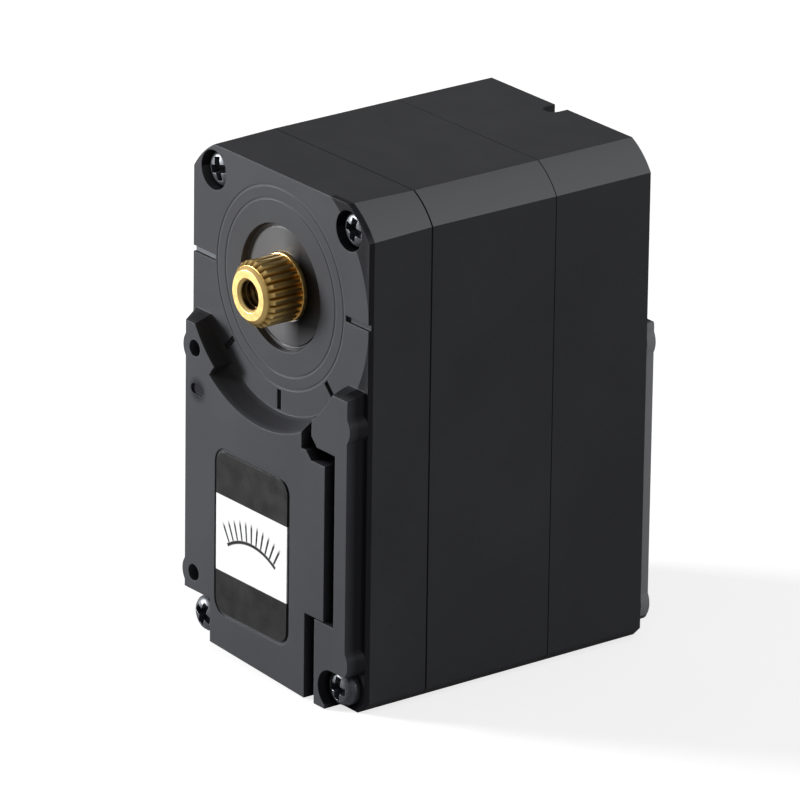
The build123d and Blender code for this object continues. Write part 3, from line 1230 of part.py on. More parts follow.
def socket_pins():
    end = SOCKET_REAR - SOCKET_PIN_STANDOFF
    front = BOARD_FRONT - PART_GAP
    return Compound(children=[rod(SOCKET_PIN_RADIUS, front, end, x, z) for x, z in socket_pin_places()])


PIECES = {
    "front_cover": front_cover,
    "middle_case": middle_case,
    "rear_cover": rear_cover,
    "case_screws": case_screws,
    "front_label": front_label,
    "dust_washer": dust_washer,
    "output_shaft": output_shaft,
    "output_gear": output_gear,
    "bearing_outer_ring": bearing_outer_ring,
    "bearing_balls": bearing_balls,
    "bearing_inner_ring": bearing_inner_ring,
    "rear_bush": rear_bush,
    "first_gear": first_gear,
    "second_gear": second_gear,
    "third_gear": third_gear,
    "left_gear_pin": left_gear_pin,
    "right_gear_pin": right_gear_pin,
    "motor_pinion": motor_pinion,
    "motor_shaft": motor_shaft,
    "motor_can": motor_can,
    "motor_end_cap": motor_end_cap,
    "motor_front_bush": motor_front_bush,
    "motor_rear_bush": motor_rear_bush,
    "motor_magnets": motor_magnets,
    "armature_core": armature_core,
    "armature_windings": armature_windings,
    "motor_commutator": motor_commutator,
    "motor_brushes": motor_brushes,
    "motor_terminals": motor_terminals,
    "motor_screws": motor_screws,
    "sensor_body": sensor_body,
    "sensor_rotor": sensor_rotor,
    "sensor_pins": sensor_pins,
    "main_board": main_board,
    "board_screws": board_screws,
    "controller_chip": controller_chip,
    "driver_chip": driver_chip,
    "bulk_capacitor": bulk_capacitor,
    "voltage_regulator": voltage_regulator,
    "socket_pins": socket_pins,
}

os.makedirs("parts", exist_ok=True)
for name, make in PIECES.items():
    export_step(make(), f"parts/{name}.step")
for side, x in zip(("left", "right"), socket_places()):
    export_step(socket(x), f"parts/{side}_socket.step")
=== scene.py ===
"""Serial bus servo: packed case, gears, motor and board, dressed with finishes, screws, spline and print.

Metres, in the part's own frame: -Y out of the front along the output shaft, +Z up, origin on its axis.
"""

from math import cos, pi, radians, sin

import bmesh
import bpy
from mathutils import Matrix, Vector


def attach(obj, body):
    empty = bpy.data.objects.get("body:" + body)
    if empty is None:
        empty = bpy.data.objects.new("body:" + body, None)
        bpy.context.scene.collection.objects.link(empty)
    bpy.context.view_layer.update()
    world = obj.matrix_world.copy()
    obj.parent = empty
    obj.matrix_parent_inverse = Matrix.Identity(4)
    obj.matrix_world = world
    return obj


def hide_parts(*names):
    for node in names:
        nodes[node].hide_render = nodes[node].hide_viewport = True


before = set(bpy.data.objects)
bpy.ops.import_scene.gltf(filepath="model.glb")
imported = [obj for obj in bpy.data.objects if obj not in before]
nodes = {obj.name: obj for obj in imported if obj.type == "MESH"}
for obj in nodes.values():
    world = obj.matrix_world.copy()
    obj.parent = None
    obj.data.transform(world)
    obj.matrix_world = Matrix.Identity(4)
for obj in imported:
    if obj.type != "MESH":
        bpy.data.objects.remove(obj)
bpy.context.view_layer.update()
MM = 0.001


# Case mouldings: front cover, middle case and rear cover, split by two thin seams.
# Injection moulded in dark grey nylon with a fine satin grain; edges are paler with wear and a painted edge
# highlight.
# The upper bevels and the rear rails' outer sides carry a painted highlight.
# The front has two faint turned rings, and painted shade darkens its hollows, slot and cut walls to near
# black.

CASE_GREY = (0.047, 0.048, 0.053)
CASE_EDGE_GREY = (0.090, 0.092, 0.098)
# Painted highlight grey for the upper bevels.
BEVEL_HIGHLIGHT_GREY = (0.275, 0.281, 0.293)
# Painted highlight grey for the rear rails' outer sides.
REAR_RAIL_HIGHLIGHT_GREY = (0.36, 0.365, 0.38)
TICK_GREY = (0.17, 0.18, 0.20)
# Near black for painted shade in the hollows, slot and cut walls.
PAINTED_SHADE_BLACK = (0.0035, 0.0035, 0.006)
SEAM_BLACK = (0.001, 0.001, 0.001)
CLOUD_SIZE = 14 * MM
SPECKLE_SIZE = 0.11 * MM
GRAIN_SIZE = 0.09 * MM
SMEAR_SIZE = 3 * MM
BEVEL_FOOT = 5.0 * MM
SEAMS = ((6.6 * MM, 0.15 * MM), (19.84 * MM, 0.09 * MM))
RING_RADII = (7.75 * MM, 8.9 * MM)
RING_WIDTH = 0.2 * MM
RING_DEPTH = 0.14 * MM
SLOT_SIDES = (5.2 * MM, 10.6 * MM)
SLOT_TOP = -1.75 * MM
SLOT_FADE = 0.85 * MM
SLOT_FLOOR = 0.53 * MM
ARC_RADIUS = 12.3 * MM
ARC_WALL_RADII = (11.7 * MM, 1.25 * MM)
ARC_WALL_DEPTHS = (-0.95 * MM, 1.4 * MM)
DIMPLE_PLACE = (-9.1 * MM, -11.6 * MM)
DIMPLE_RADIUS = 0.6 * MM
DIMPLE_FADE = 0.7 * MM
RAIL_FACE = -1.5 * MM
COUNTERBORE_RADIUS = 1.78 * MM
COUNTERBORE_DEPTH = 3.0 * MM
COUNTERBORE_SHADES = ((-9.5, 7.85, 0.7), (9.5, 7.85, 1.0), (-10.1, -33.0, 0.6), (10.1, -33.0, 0.6))
TICK_DEPTHS = (0.3 * MM, 0.1 * MM)
TICK_HEIGHTS = (0.0, 1.2 * MM)
TICK_END = -9.2 * MM
REAR_FACE = 30.12 * MM
REAR_RAIL_SIDE = 11.95 * MM


def new_finish(name, colour, roughness, metallic=0.0, specular=0.5):
    """Material with plain shader values; patterns are linked over them afterwards."""
    finish = bpy.data.materials.new(name)
    finish.use_nodes = True
    shader = finish.node_tree.nodes["Principled BSDF"]
    shader.inputs["Base Color"].default_value = (*colour, 1)
    shader.inputs["Roughness"].default_value = roughness
    shader.inputs["Metallic"].default_value = metallic
    shader.inputs["Specular IOR Level"].default_value = specular
    finish.diffuse_color = (*colour, 1)
    return finish


def add_node(finish, kind, links=(), **values):
    """Adds a node; values set its properties, links feed its inputs from sockets or numbers."""
    node = finish.node_tree.nodes.new(kind)
    for key, value in values.items():
        setattr(node, key, value)
    for socket, source in dict(links).items():
        if isinstance(source, bpy.types.NodeSocket):
            finish.node_tree.links.new(source, node.inputs[socket])
        else:
            node.inputs[socket].default_value = source
    return node


def shader_of(finish):
    return finish.node_tree.nodes["Principled BSDF"]


def feed_shader(finish, socket, source):
    finish.node_tree.links.new(source, shader_of(finish).inputs[socket])


def object_place(finish):
    return add_node(finish, "ShaderNodeTexCoord").outputs["Object"]


def noise(finish, size, detail=2.0, stretch=(1, 1, 1)):
    """Noise whose blotches are about one size across, in metres; stretch squeezes it along an axis."""
    place = object_place(finish)
    if stretch != (1, 1, 1):
        place = add_node(finish, "ShaderNodeMapping", {"Vector": place, "Scale": stretch}).outputs[0]
    links = {"Vector": place, "Scale": 1 / size, "Detail": detail}
    return add_node(finish, "ShaderNodeTexNoise", links).outputs["Fac"]


def calculate(finish, operation, first, second=0.0, third=0.0, clamp=False):
    links = {0: first, 1: second, 2: third}
    return add_node(finish, "ShaderNodeMath", links, operation=operation, use_clamp=clamp).outputs[0]


def spread(finish, source, low, high, to_low=0.0, to_high=1.0):
    """Value moved from one range to another and kept inside it."""
    links = {"Value": source, "From Min": low, "From Max": high, "To Min": to_low, "To Max": to_high}
    return add_node(finish, "ShaderNodeMapRange", links).outputs[0]


def blend_colours(finish, share, first, second):
    """Colour between two colours or colour sockets."""
    mix = add_node(finish, "ShaderNodeMix", data_type="RGBA")
    for socket, source in ((0, share), (6, first), (7, second)):
        if isinstance(source, bpy.types.NodeSocket):
            finish.node_tree.links.new(source, mix.inputs[socket])
        else:
            mix.inputs[socket].default_value = (*source, 1) if isinstance(source, tuple) else source
    return mix.outputs[2]


def band(finish, source, middle, width):
    """1 within a narrow band of values round middle, 0 outside it."""
    distance = calculate(finish, "ABSOLUTE", calculate(finish, "SUBTRACT", source, middle))
    return spread(finish, distance, 0.35 * width, 0.65 * width, 1.0, 0.0)


def waves(finish, source, pitch):
    """Sine waves along a value, at a pitch in millimetres."""
    return calculate(finish, "SINE", calculate(finish, "MULTIPLY", source, 2 * pi / (pitch * MM)))


def beyond(finish, source, limit, fade=0.1 * MM, most=1.0):
    """Rises from 0 to most as a value passes a limit."""
    return spread(finish, source, limit, limit + fade, 0.0, most)


def short_of(finish, source, limit, fade=0.1 * MM, most=1.0):
    """Falls from most to 0 as a value passes a limit."""
    return spread(finish, source, limit, limit + fade, most, 0.0)


def combine(finish, operation, first, *others):
    """Several shares put together by one operation, such as their product or the largest."""
    for other in others:
        first = calculate(finish, operation, first, other)
    return first


def radius_from_shaft(finish, x=0.0, z=0.0):
    """Distance from an axis that lies along Y."""
    parts = add_node(finish, "ShaderNodeSeparateXYZ", {0: object_place(finish)})
    off_x = calculate(finish, "SUBTRACT", parts.outputs[0], x)
    off_z = calculate(finish, "SUBTRACT", parts.outputs[2], z)
    square = calculate(finish, "MULTIPLY", off_x, off_x)
    total = calculate(finish, "MULTIPLY_ADD", off_z, off_z, square)
    return calculate(finish, "SQRT", total)


def soft_edges(finish, radius, height, strength, distance):
    """Rounds the edges' shading by a small radius, and adds a relief from a height over it."""
    edge = add_node(finish, "ShaderNodeBevel", {"Radius": radius}, samples=6)
    links = {"Height": height, "Strength": strength, "Distance": distance, "Normal": edge.outputs[0]}
    feed_shader(finish, "Normal", add_node(finish, "ShaderNodeBump", links).outputs[0])


def edge_share(finish, radius):
    """1 on outer edges, paler with wear and a painted edge highlight, 0 on flat faces."""
    edge = add_node(finish, "ShaderNodeBevel", {"Radius": radius}, samples=6)
    flat = add_node(finish, "ShaderNodeNewGeometry").outputs["True Normal"]
    same = add_node(finish, "ShaderNodeVectorMath", {0: edge.outputs[0], 1: flat}, operation="DOT_PRODUCT")
    return spread(finish, same.outputs["Value"], 0.995, 0.86)


def bevel_highlight_share(finish, height):
    """Painted highlight, strong on the case's upper bevels, whose faces look both up and to a side."""
    normal = add_node(finish, "ShaderNodeTexCoord").outputs["Normal"]
    facing = add_node(finish, "ShaderNodeSeparateXYZ", {0: normal}).outputs
    both_ways = calculate(finish, "MULTIPLY", calculate(finish, "ABSOLUTE", facing[0]), facing[2])
    tilted = beyond(finish, both_ways, 0.06, 0.06, 0.8)
    return calculate(finish, "MULTIPLY", tilted, beyond(finish, height, BEVEL_FOOT))


def ring_share(finish, radius, depth):
    """Faint on the two turned rings of the front face."""
    rings = [band(finish, radius, ring, RING_WIDTH) for ring in RING_RADII]
    on_front = short_of(finish, depth, RING_DEPTH, 0.02 * MM, 0.4)
    return calculate(finish, "MULTIPLY", combine(finish, "MAXIMUM", *rings), on_front)


def slot_shade(finish, across, depth, radius):
    """Dark on the walls and floor of the slot beside the label panel, below the arc."""
    in_slot = band(finish, across, sum(SLOT_SIDES) / 2, 2 * (SLOT_SIDES[1] - SLOT_SIDES[0]))
    deep = beyond(finish, depth, SLOT_TOP, SLOT_FADE)
    above_floor = short_of(finish, depth, SLOT_FLOOR, 0.03 * MM)
    below_arc = beyond(finish, radius, ARC_RADIUS, 0.05 * MM)
    return combine(finish, "MULTIPLY", in_slot, deep, above_floor, below_arc)


def arc_wall_shade(finish, depth, radius):
    """Half dark on the curved wall that steps down from the rails to the round front face."""
    on_wall = band(finish, radius, *ARC_WALL_RADII)
    return combine(finish, "MULTIPLY", on_wall, band(finish, depth, *ARC_WALL_DEPTHS), 0.5)


def dimple_shade(finish, depth):
    """Dark spot in the gate mark on the left rail."""
    spot = short_of(finish, radius_from_shaft(finish, *DIMPLE_PLACE), DIMPLE_RADIUS, DIMPLE_FADE, 0.85)
    return calculate(finish, "MULTIPLY", spot, short_of(finish, depth, RAIL_FACE))


def counterbore_shade(finish, depth):
    """Dark inside the four screw counterbores, each by its own share."""
    hollows = []
    for x, z, shade in COUNTERBORE_SHADES:
        near = radius_from_shaft(finish, x * MM, z * MM)
        hollows.append(short_of(finish, near, COUNTERBORE_RADIUS, 0.03 * MM, shade))
    in_front = short_of(finish, depth, COUNTERBORE_DEPTH)
    return calculate(finish, "MULTIPLY", combine(finish, "MAXIMUM", *hollows), in_front)


def tick_share(finish, across, depth, height):
    """Pale floor of the groove on the left of the front face."""
    on_floor = band(finish, depth, *TICK_DEPTHS)
    level = band(finish, height, *TICK_HEIGHTS)
    return combine(finish, "MULTIPLY", on_floor, level, short_of(finish, across, TICK_END, most=0.7))


def rear_rail_highlight_share(finish, across, depth):
    """Painted highlight, strong on the outer sides of the rear rails."""
    outward = calculate(finish, "ABSOLUTE", across)
    sides = beyond(finish, outward, REAR_RAIL_SIDE, most=0.75)
    return calculate(finish, "MULTIPLY", beyond(finish, depth, REAR_FACE, 0.08 * MM), sides)


def case_finish():
    finish = new_finish("case_plastic", CASE_GREY, 0.4, specular=0.06)
    across, depth, height = add_node(finish, "ShaderNodeSeparateXYZ", {0: object_place(finish)}).outputs
    radius = radius_from_shaft(finish)
    cloudy = spread(finish, noise(finish, CLOUD_SIZE, 3), 0.3, 0.7, 0.0, 0.22)
    speckle = spread(finish, noise(finish, SPECKLE_SIZE, 3), 0.35, 0.75, 0.0, 0.16)
    mottle = calculate(finish, "ADD", cloudy, speckle)
    colour = blend_colours(finish, mottle, CASE_GREY, CASE_EDGE_GREY)
    # Outer edges paler, with wear and a painted edge highlight.
    edge_wear_and_highlight = calculate(finish, "MULTIPLY", edge_share(finish, 0.10 * MM), 0.5)
    colour = blend_colours(finish, edge_wear_and_highlight, colour, CASE_EDGE_GREY)
    # Painted highlight on the upper bevels.
    colour = blend_colours(finish, bevel_highlight_share(finish, height), colour, BEVEL_HIGHLIGHT_GREY)
    colour = blend_colours(finish, ring_share(finish, radius, depth), colour, CASE_EDGE_GREY)
    for seam, width in SEAMS:
        colour = blend_colours(finish, band(finish, depth, seam, width), colour, SEAM_BLACK)
    # Painted shade: the slot, arc wall, dimple and counterbores darken toward near black.
    shades = [slot_shade(finish, across, depth, radius), arc_wall_shade(finish, depth, radius)]
    shades += [dimple_shade(finish, depth), counterbore_shade(finish, depth)]
    dark = calculate(finish, "MULTIPLY", combine(finish, "MAXIMUM", *shades), 0.9)
    colour = blend_colours(finish, dark, colour, PAINTED_SHADE_BLACK)
    colour = blend_colours(finish, tick_share(finish, across, depth, height), colour, TICK_GREY)
    # Painted highlight on the rear rails' outer sides.
    colour = blend_colours(finish, rear_rail_highlight_share(finish, across, depth), colour, REAR_RAIL_HIGHLIGHT_GREY)
    feed_shader(finish, "Base Color", colour)
    feed_shader(finish, "Roughness", spread(finish, noise(finish, SMEAR_SIZE, 4), 0.3, 0.7, 0.37, 0.43))
    soft_edges(finish, 0.12 * MM, noise(finish, GRAIN_SIZE, 2), 0.10, 0.01 * MM)
    return finish


def dress(finish, *names):
    """Gives CAD nodes this finish."""
    for name in names:
        nodes[name].data.materials.clear()
        nodes[name].data.materials.append(finish)


dress(case_finish(), "front_cover", "middle_case", "rear_cover")


# Case screws: four long self-tapping pan heads with a cross recess, in black zinc.
# One head is turned and cut in mesh code, then set on the four places with its own turn.

SCREW_PLACES = ((-9.5, 0.4, 7.85), (9.5, 0.4, 7.85), (-10.1, -0.5, -33.0), (10.1, -1.2, -33.0))
HEAD_RADIUS = 1.65
HEAD_DOME = ((0, 0), (0.72, 0.015), (1.12, 0.10), (1.40, 0.26), (1.58, 0.50), (HEAD_RADIUS, 0.80))
HEAD_HEIGHT = 1.4
SHANK_RADIUS = 0.93
SHANK_END = 24.6
POINT_END = 25.3
THREAD_PITCH = 0.9
THREAD_LENGTH = 18
THREAD_START = 24.5
THREAD_RIDGE = 0.09
RECESS_LENGTH = 2.1
RECESS_WIDTH = 0.72
RECESS_DEPTH = 0.95
RECESS_CONE = {"Vertices": 16, "Radius Top": 0.04 * MM, "Radius Bottom": 0.85 * MM, "Depth": 2.6 * MM}
SCREW_BLACK = (0.070, 0.075, 0.088)
SCREW_GREY = (0.105, 0.110, 0.124)
SCREW_EDGE_GREY = (0.26, 0.265, 0.28)


def turned_mesh(name, profile, segments):
    """Closed solid of revolution about Y from (radius, y) points in millimetres."""
    shape = bmesh.new()
    rings = []
    for radius, y in profile:
        if radius < 1e-6:
            rings.append([shape.verts.new((0, y * MM, 0))])
            continue
        turns = [2 * pi * step / segments for step in range(segments)]
        rings.append([shape.verts.new((radius * MM * cos(t), y * MM, radius * MM * sin(t))) for t in turns])
    for inner, outer in zip(rings, rings[1:] + rings[:1]):
        for step in range(segments):
            corners = [inner[step % len(inner)], inner[(step + 1) % len(inner)]]
            corners += [outer[(step + 1) % len(outer)], outer[step % len(outer)]]
            corners = list(dict.fromkeys(corners))
            if len(corners) > 2 and not (len(inner) == 1 and len(outer) == 1):
                shape.faces.new(corners)
    bmesh.ops.recalc_face_normals(shape, faces=shape.faces)
    mesh = bpy.data.meshes.new(name)
    shape.to_mesh(mesh)
    shape.free()
    return mesh


def put_piece(name, mesh, body, finish):
    """Adds a mesh as a piece that rides on a body."""
    piece = bpy.data.objects.new(name, mesh)
    bpy.context.scene.collection.objects.link(piece)
    if not mesh.materials:
        mesh.materials.append(finish)
    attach(piece, body)
    return piece


def shade_by_angle(mesh, angle=32):
    """Smooth faces, with edges sharper than the angle kept crisp."""
    shape = bmesh.new()
    shape.from_mesh(mesh)
    for face in shape.faces:
        face.smooth = True
    for edge in shape.edges:
        if len(edge.link_faces) == 2 and edge.calc_face_angle(0) > radians(angle):
            edge.smooth = False
    shape.to_mesh(mesh)
    shape.free()


def new_tree(name, inputs):
    """Geometry Nodes tree with a geometry input and named inputs; returns it with its end nodes."""
    tree = bpy.data.node_groups.new(name, "GeometryNodeTree")
    tree.interface.new_socket("Geometry", in_out="INPUT", socket_type="NodeSocketGeometry")
    for label, kind, value in inputs:
        socket = tree.interface.new_socket(label, in_out="INPUT", socket_type=kind)
        if value is not None:
            socket.default_value = value
    tree.interface.new_socket("Geometry", in_out="OUTPUT", socket_type="NodeSocketGeometry")
    return tree, tree.nodes.new("NodeGroupInput"), tree.nodes.new("NodeGroupOutput")


def tree_node(tree, kind, links=(), **values):
    node = tree.nodes.new(kind)
    for key, value in values.items():
        setattr(node, key, value)
    for socket, source in dict(links).items():
        if isinstance(source, bpy.types.NodeSocket):
            tree.links.new(source, node.inputs[socket])
        else:
            node.inputs[socket].default_value = source
    return node


def finish_tree(tree, end, shapes, finish):
    """Joins the shapes, realises the copies and sets their material."""
    joined = tree_node(tree, "GeometryNodeJoinGeometry")
    for shape in shapes:
        tree.links.new(shape, joined.inputs[0])
    real = tree_node(tree, "GeometryNodeRealizeInstances", {0: joined.outputs[0]})
    painted = tree_node(tree, "GeometryNodeSetMaterial", {"Geometry": real.outputs[0], "Material": finish})
    tree.links.new(painted.outputs[0], end.inputs[0])


def made_by(tree, name, base, settings):
    """Runs a tree on a base mesh and returns the result as a plain mesh."""
    host = bpy.data.objects.new(name + "_host", base)
    bpy.context.scene.collection.objects.link(host)
    modifier = host.modifiers.new("nodes", "NODES")
    modifier.node_group = tree
    for item in tree.interface.items_tree:
        if item.in_out == "INPUT" and item.name in settings:
            modifier[item.identifier] = settings[item.name]
    bpy.context.view_layer.update()
    evaluated = host.evaluated_get(bpy.context.evaluated_depsgraph_get())
    mesh = bpy.data.meshes.new_from_object(evaluated)
    mesh.name = name
    host.modifiers.clear()
    bpy.data.objects.remove(host)
    return mesh


def screw_finish():
    finish = new_finish("screw_steel", SCREW_BLACK, 0.34, metallic=0.5)
    patches = spread(finish, noise(finish, 0.5 * MM, 4), 0.35, 0.7)
    colour = blend_colours(finish, patches, SCREW_BLACK, SCREW_GREY)
    # Outer edges paler, with wear and a painted edge highlight.
    edge_wear_and_highlight = calculate(finish, "MULTIPLY", edge_share(finish, 0.07 * MM), 0.7)
    feed_shader(finish, "Base Color", blend_colours(finish, edge_wear_and_highlight, colour, SCREW_EDGE_GREY))
    feed_shader(finish, "Roughness", spread(finish, noise(finish, 0.2 * MM, 3), 0.3, 0.7, 0.26, 0.46))
    soft_edges(finish, 0.05 * MM, noise(finish, 0.12 * MM, 2), 0.15, 0.01 * MM)
    return finish


def screw_blank():
    """Pan head and plain shank, head front at y 0."""
    profile = [*HEAD_DOME, (HEAD_RADIUS, HEAD_HEIGHT), (SHANK_RADIUS, HEAD_HEIGHT)]
    profile += [(SHANK_RADIUS, SHANK_END), (0, POINT_END)]
    return turned_mesh("screw_blank", profile, 40)


def wound_thread(tree, start, radius, ridge, sides, steps, from_y):
    """Thread ridge wound forward along Y from a depth, by the tree's own turns and length."""
    coil = {"Resolution": steps, "Start Radius": radius, "End Radius": radius}
    coil |= {"Rotations": start.outputs["Thread Turns"], "Height": start.outputs["Thread Length"]}
    spiral = tree_node(tree, "GeometryNodeCurveSpiral", coil)
    section = tree_node(tree, "GeometryNodeCurvePrimitiveCircle", {"Resolution": sides, "Radius": ridge * MM})
    sweep = {"Curve": spiral.outputs[0], "Profile Curve": section.outputs[0], "Fill Caps": True}
    thread = tree_node(tree, "GeometryNodeCurveToMesh", sweep)
    lay = {"Geometry": thread.outputs[0], "Translation": (0, from_y * MM, 0), "Rotation": (pi / 2, 0, 0)}
    return tree_node(tree, "GeometryNodeTransform", lay).outputs[0]


def recess_cutters(tree, start):
    """Two crossed bars and a cone, which together cut a cross recess into a head at y 0."""
    length, width = start.outputs["Recess Length"], start.outputs["Recess Width"]
    both_sides = {0: start.outputs["Recess Depth"], 1: 2.0}
    depth = tree_node(tree, "ShaderNodeMath", both_sides, operation="MULTIPLY")
    cutters = []
    for x, z in ((length, width), (width, length)):
        size = tree_node(tree, "ShaderNodeCombineXYZ", {"X": x, "Y": depth.outputs[0], "Z": z})
        cutters.append(tree_node(tree, "GeometryNodeMeshCube", {"Size": size.outputs[0]}).outputs[0])
    cone = tree_node(tree, "GeometryNodeMeshCone", RECESS_CONE)
    lay = {"Geometry": cone.outputs[0], "Rotation": (-pi / 2, 0, 0)}
    lay |= {"Translation": (0, -RECESS_CONE["Depth"] / 2, 0)}
    cutters.append(tree_node(tree, "GeometryNodeTransform", lay).outputs[0])
    return cutters


def screw_tree(finish):
    """Cuts the cross recess, winds the thread, and sets a screw on each place."""
    inputs = (("Blank", "NodeSocketObject", None), ("Recess Length", "NodeSocketFloat", 0.002))
    inputs += (("Recess Width", "NodeSocketFloat", 0.0005), ("Recess Depth", "NodeSocketFloat", 0.001))
    inputs += (("Thread Turns", "NodeSocketFloat", 20.0), ("Thread Length", "NodeSocketFloat", 0.018))
    inputs += (("Turn Seed", "NodeSocketInt", 4),)
    tree, start, end = new_tree("screws_on_places", inputs)
    blank = tree_node(tree, "GeometryNodeObjectInfo", {"Object": start.outputs["Blank"]})
    whole_blank = {0: blank.outputs["Geometry"]}
    cut = tree_node(tree, "GeometryNodeMeshBoolean", whole_blank, operation="DIFFERENCE", solver="EXACT")
    for cutter in recess_cutters(tree, start):
        tree.links.new(cutter, cut.inputs[1])
    thread = wound_thread(tree, start, SHANK_RADIUS * MM, THREAD_RIDGE, 3, 20, THREAD_START)
    whole = tree_node(tree, "GeometryNodeJoinGeometry", {0: cut.outputs[0]})
    tree.links.new(thread, whole.inputs[0])
    any_turn = {"Min": (0, 0, 0), "Max": (0, pi, 0), "Seed": start.outputs["Turn Seed"]}
    turn = tree_node(tree, "FunctionNodeRandomValue", any_turn, data_type="FLOAT_VECTOR")
    copies = {"Points": start.outputs["Geometry"], "Instance": whole.outputs[0], "Rotation": turn.outputs[0]}
    placed = tree_node(tree, "GeometryNodeInstanceOnPoints", copies)
    finish_tree(tree, end, [placed.outputs[0]], finish)
    return tree


def points_mesh(name, places):
    mesh = bpy.data.meshes.new(name)
    mesh.from_pydata([tuple(value * MM for value in place) for place in places], [], [])
    return mesh


screw_steel = screw_finish()
blank = bpy.data.objects.new("screw_blank", screw_blank())
bpy.context.scene.collection.objects.link(blank)
screw_settings = {"Blank": blank, "Recess Length": RECESS_LENGTH * MM, "Recess Width": RECESS_WIDTH * MM}
screw_settings |= {"Recess Depth": RECESS_DEPTH * MM, "Thread Length": THREAD_LENGTH * MM}
screw_settings |= {"Thread Turns": THREAD_LENGTH / THREAD_PITCH}
screw_points = points_mesh("screw_places", SCREW_PLACES)
screws = made_by(screw_tree(screw_steel), "pan_head_screws", screw_points, screw_settings)
bpy.data.objects.remove(blank)
shade_by_angle(screws)
screw_piece = put_piece("pan_head_screws", screws, "housing", screw_steel)
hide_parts("case_screws")


# Small screws inside: two hold the motor to the deck and two hold the board to its posts.
# Plain cheese heads in the same black zinc.

dress(screw_steel, "motor_screws", "board_screws")


# Output shaft: one turned brass piece, with 25 rolled spline teeth on its tip and an M3 thread inside.
# Teeth and thread are made by rule; the core is turned in mesh code.

TIP = -3.4
SPLINE_TEETH = 25
ROOT_RADIUS = 2.56
CREST_RADIUS = 2.95
TEETH_END = 0.20
TOOTH_SECTION = ((-0.32, -0.06), (-0.255, 0.06), (-0.17, 0.31), (-0.12, 0.375))
TOOTH_STATIONS = ((TIP + 0.34, 0.0), (TIP + 0.74, 1.0), (TEETH_END - 0.05, 1.0), (TEETH_END + 0.06, 0.9))
BORE_RADIUS = 1.25
BORE_END = 4.6
TIP_CHAMFER = ((BORE_RADIUS + 0.28, TIP), (2.2, TIP), (ROOT_RADIUS, TIP + 0.36), (ROOT_RADIUS, TEETH_END))
BASE_RING = ((2.98, 0.26), (3.0, 0.32), (3.0, 3.36))
COLLAR_AND_GEAR_SEAT = ((3.45, 3.36), (3.45, 3.71), (3.1, 3.71), (3.1, 6.01))
REAR_STEPS = ((2.6, 6.01), (2.6, 9.11), (2.2, 9.11), (2.2, 13.31), (1.52, 13.31), (1.52, 10.61), (0, 10.61))
M3_PITCH = 0.5
M3_LENGTH = 7
M3_START = 4.2
M3_RIDGE = 0.19
BRASS = (0.93, 0.65, 0.25)
BRASS_SHADE = (0.44, 0.26, 0.07)
BORE_SHADE = (0.09, 0.065, 0.035)
TURNING_PITCH = 0.07


def brass_finish(name, axis=(0.0, 0.0), root=ROOT_RADIUS, crest=CREST_RADIUS):
    """Machined brass, darker toward the roots of its teeth, with fine turning lines round its axis."""
    finish = new_finish(name, BRASS, 0.24, metallic=1.0)
    radius = radius_from_shaft(finish, axis[0] * MM, axis[1] * MM)
    up_tooth = spread(finish, radius, root * MM, (crest - 0.1) * MM)
    stains = spread(finish, noise(finish, 0.8 * MM, 3), 0.35, 0.7, 0.0, 0.18)
    bright = calculate(finish, "SUBTRACT", up_tooth, stains, clamp=True)
    inside = spread(finish, radius, (root - 0.15) * MM, root * MM, 1.0, 0.0)
    bright = calculate(finish, "MAXIMUM", bright, calculate(finish, "MULTIPLY", inside, 0.95))
    colour = blend_colours(finish, bright, BRASS_SHADE, BRASS)
    bored = spread(finish, radius, (BORE_RADIUS + 0.02) * MM, (BORE_RADIUS + 0.1) * MM, 0.9, 0.0)
    feed_shader(finish, "Base Color", blend_colours(finish, bored, colour, BORE_SHADE))
    lines = waves(finish, radius, TURNING_PITCH)
    scratches = noise(finish, 0.5 * MM, 3, stretch=(1, 6, 1))
    relief = calculate(finish, "MULTIPLY_ADD", lines, 0.25, scratches)
    feed_shader(finish, "Roughness", spread(finish, scratches, 0.3, 0.7, 0.30, 0.38))
    soft_edges(finish, 0.06 * MM, relief, 0.12, 0.006 * MM)
    return finish


def shaft_core():
    """Turned shaft with a tip chamfer, the base ring behind the teeth, and its bored holes."""
    inside = ((0, BORE_END + 0.5), (BORE_RADIUS, BORE_END), (BORE_RADIUS, TIP + 0.28))
    outside = TIP_CHAMFER + BASE_RING + COLLAR_AND_GEAR_SEAT + REAR_STEPS
    return turned_mesh("shaft_core", outside + inside, 100)


def spline_tooth():
    """One rounded tooth along Y, chamfered at its front end, rooted in the core; centred on +X."""
    section = [*TOOTH_SECTION, *((-side, height) for side, height in reversed(TOOTH_SECTION))]
    shape = bmesh.new()
    loops = []
    for y, share in TOOTH_STATIONS:
        points = [(ROOT_RADIUS + height * (share if height > 0 else 1), y, side) for side, height in section]
        loops.append([shape.verts.new([value * MM for value in point]) for point in points])
    for near, far in zip(loops, loops[1:]):
        for step in range(len(section)):
            other = (step + 1) % len(section)
            shape.faces.new((near[step], near[other], far[other], far[step]))
    shape.faces.new(loops[0])
    shape.faces.new(loops[-1])
    bmesh.ops.recalc_face_normals(shape, faces=shape.faces)
    mesh = bpy.data.meshes.new("spline_tooth")
    shape.to_mesh(mesh)
    shape.free()
    return mesh


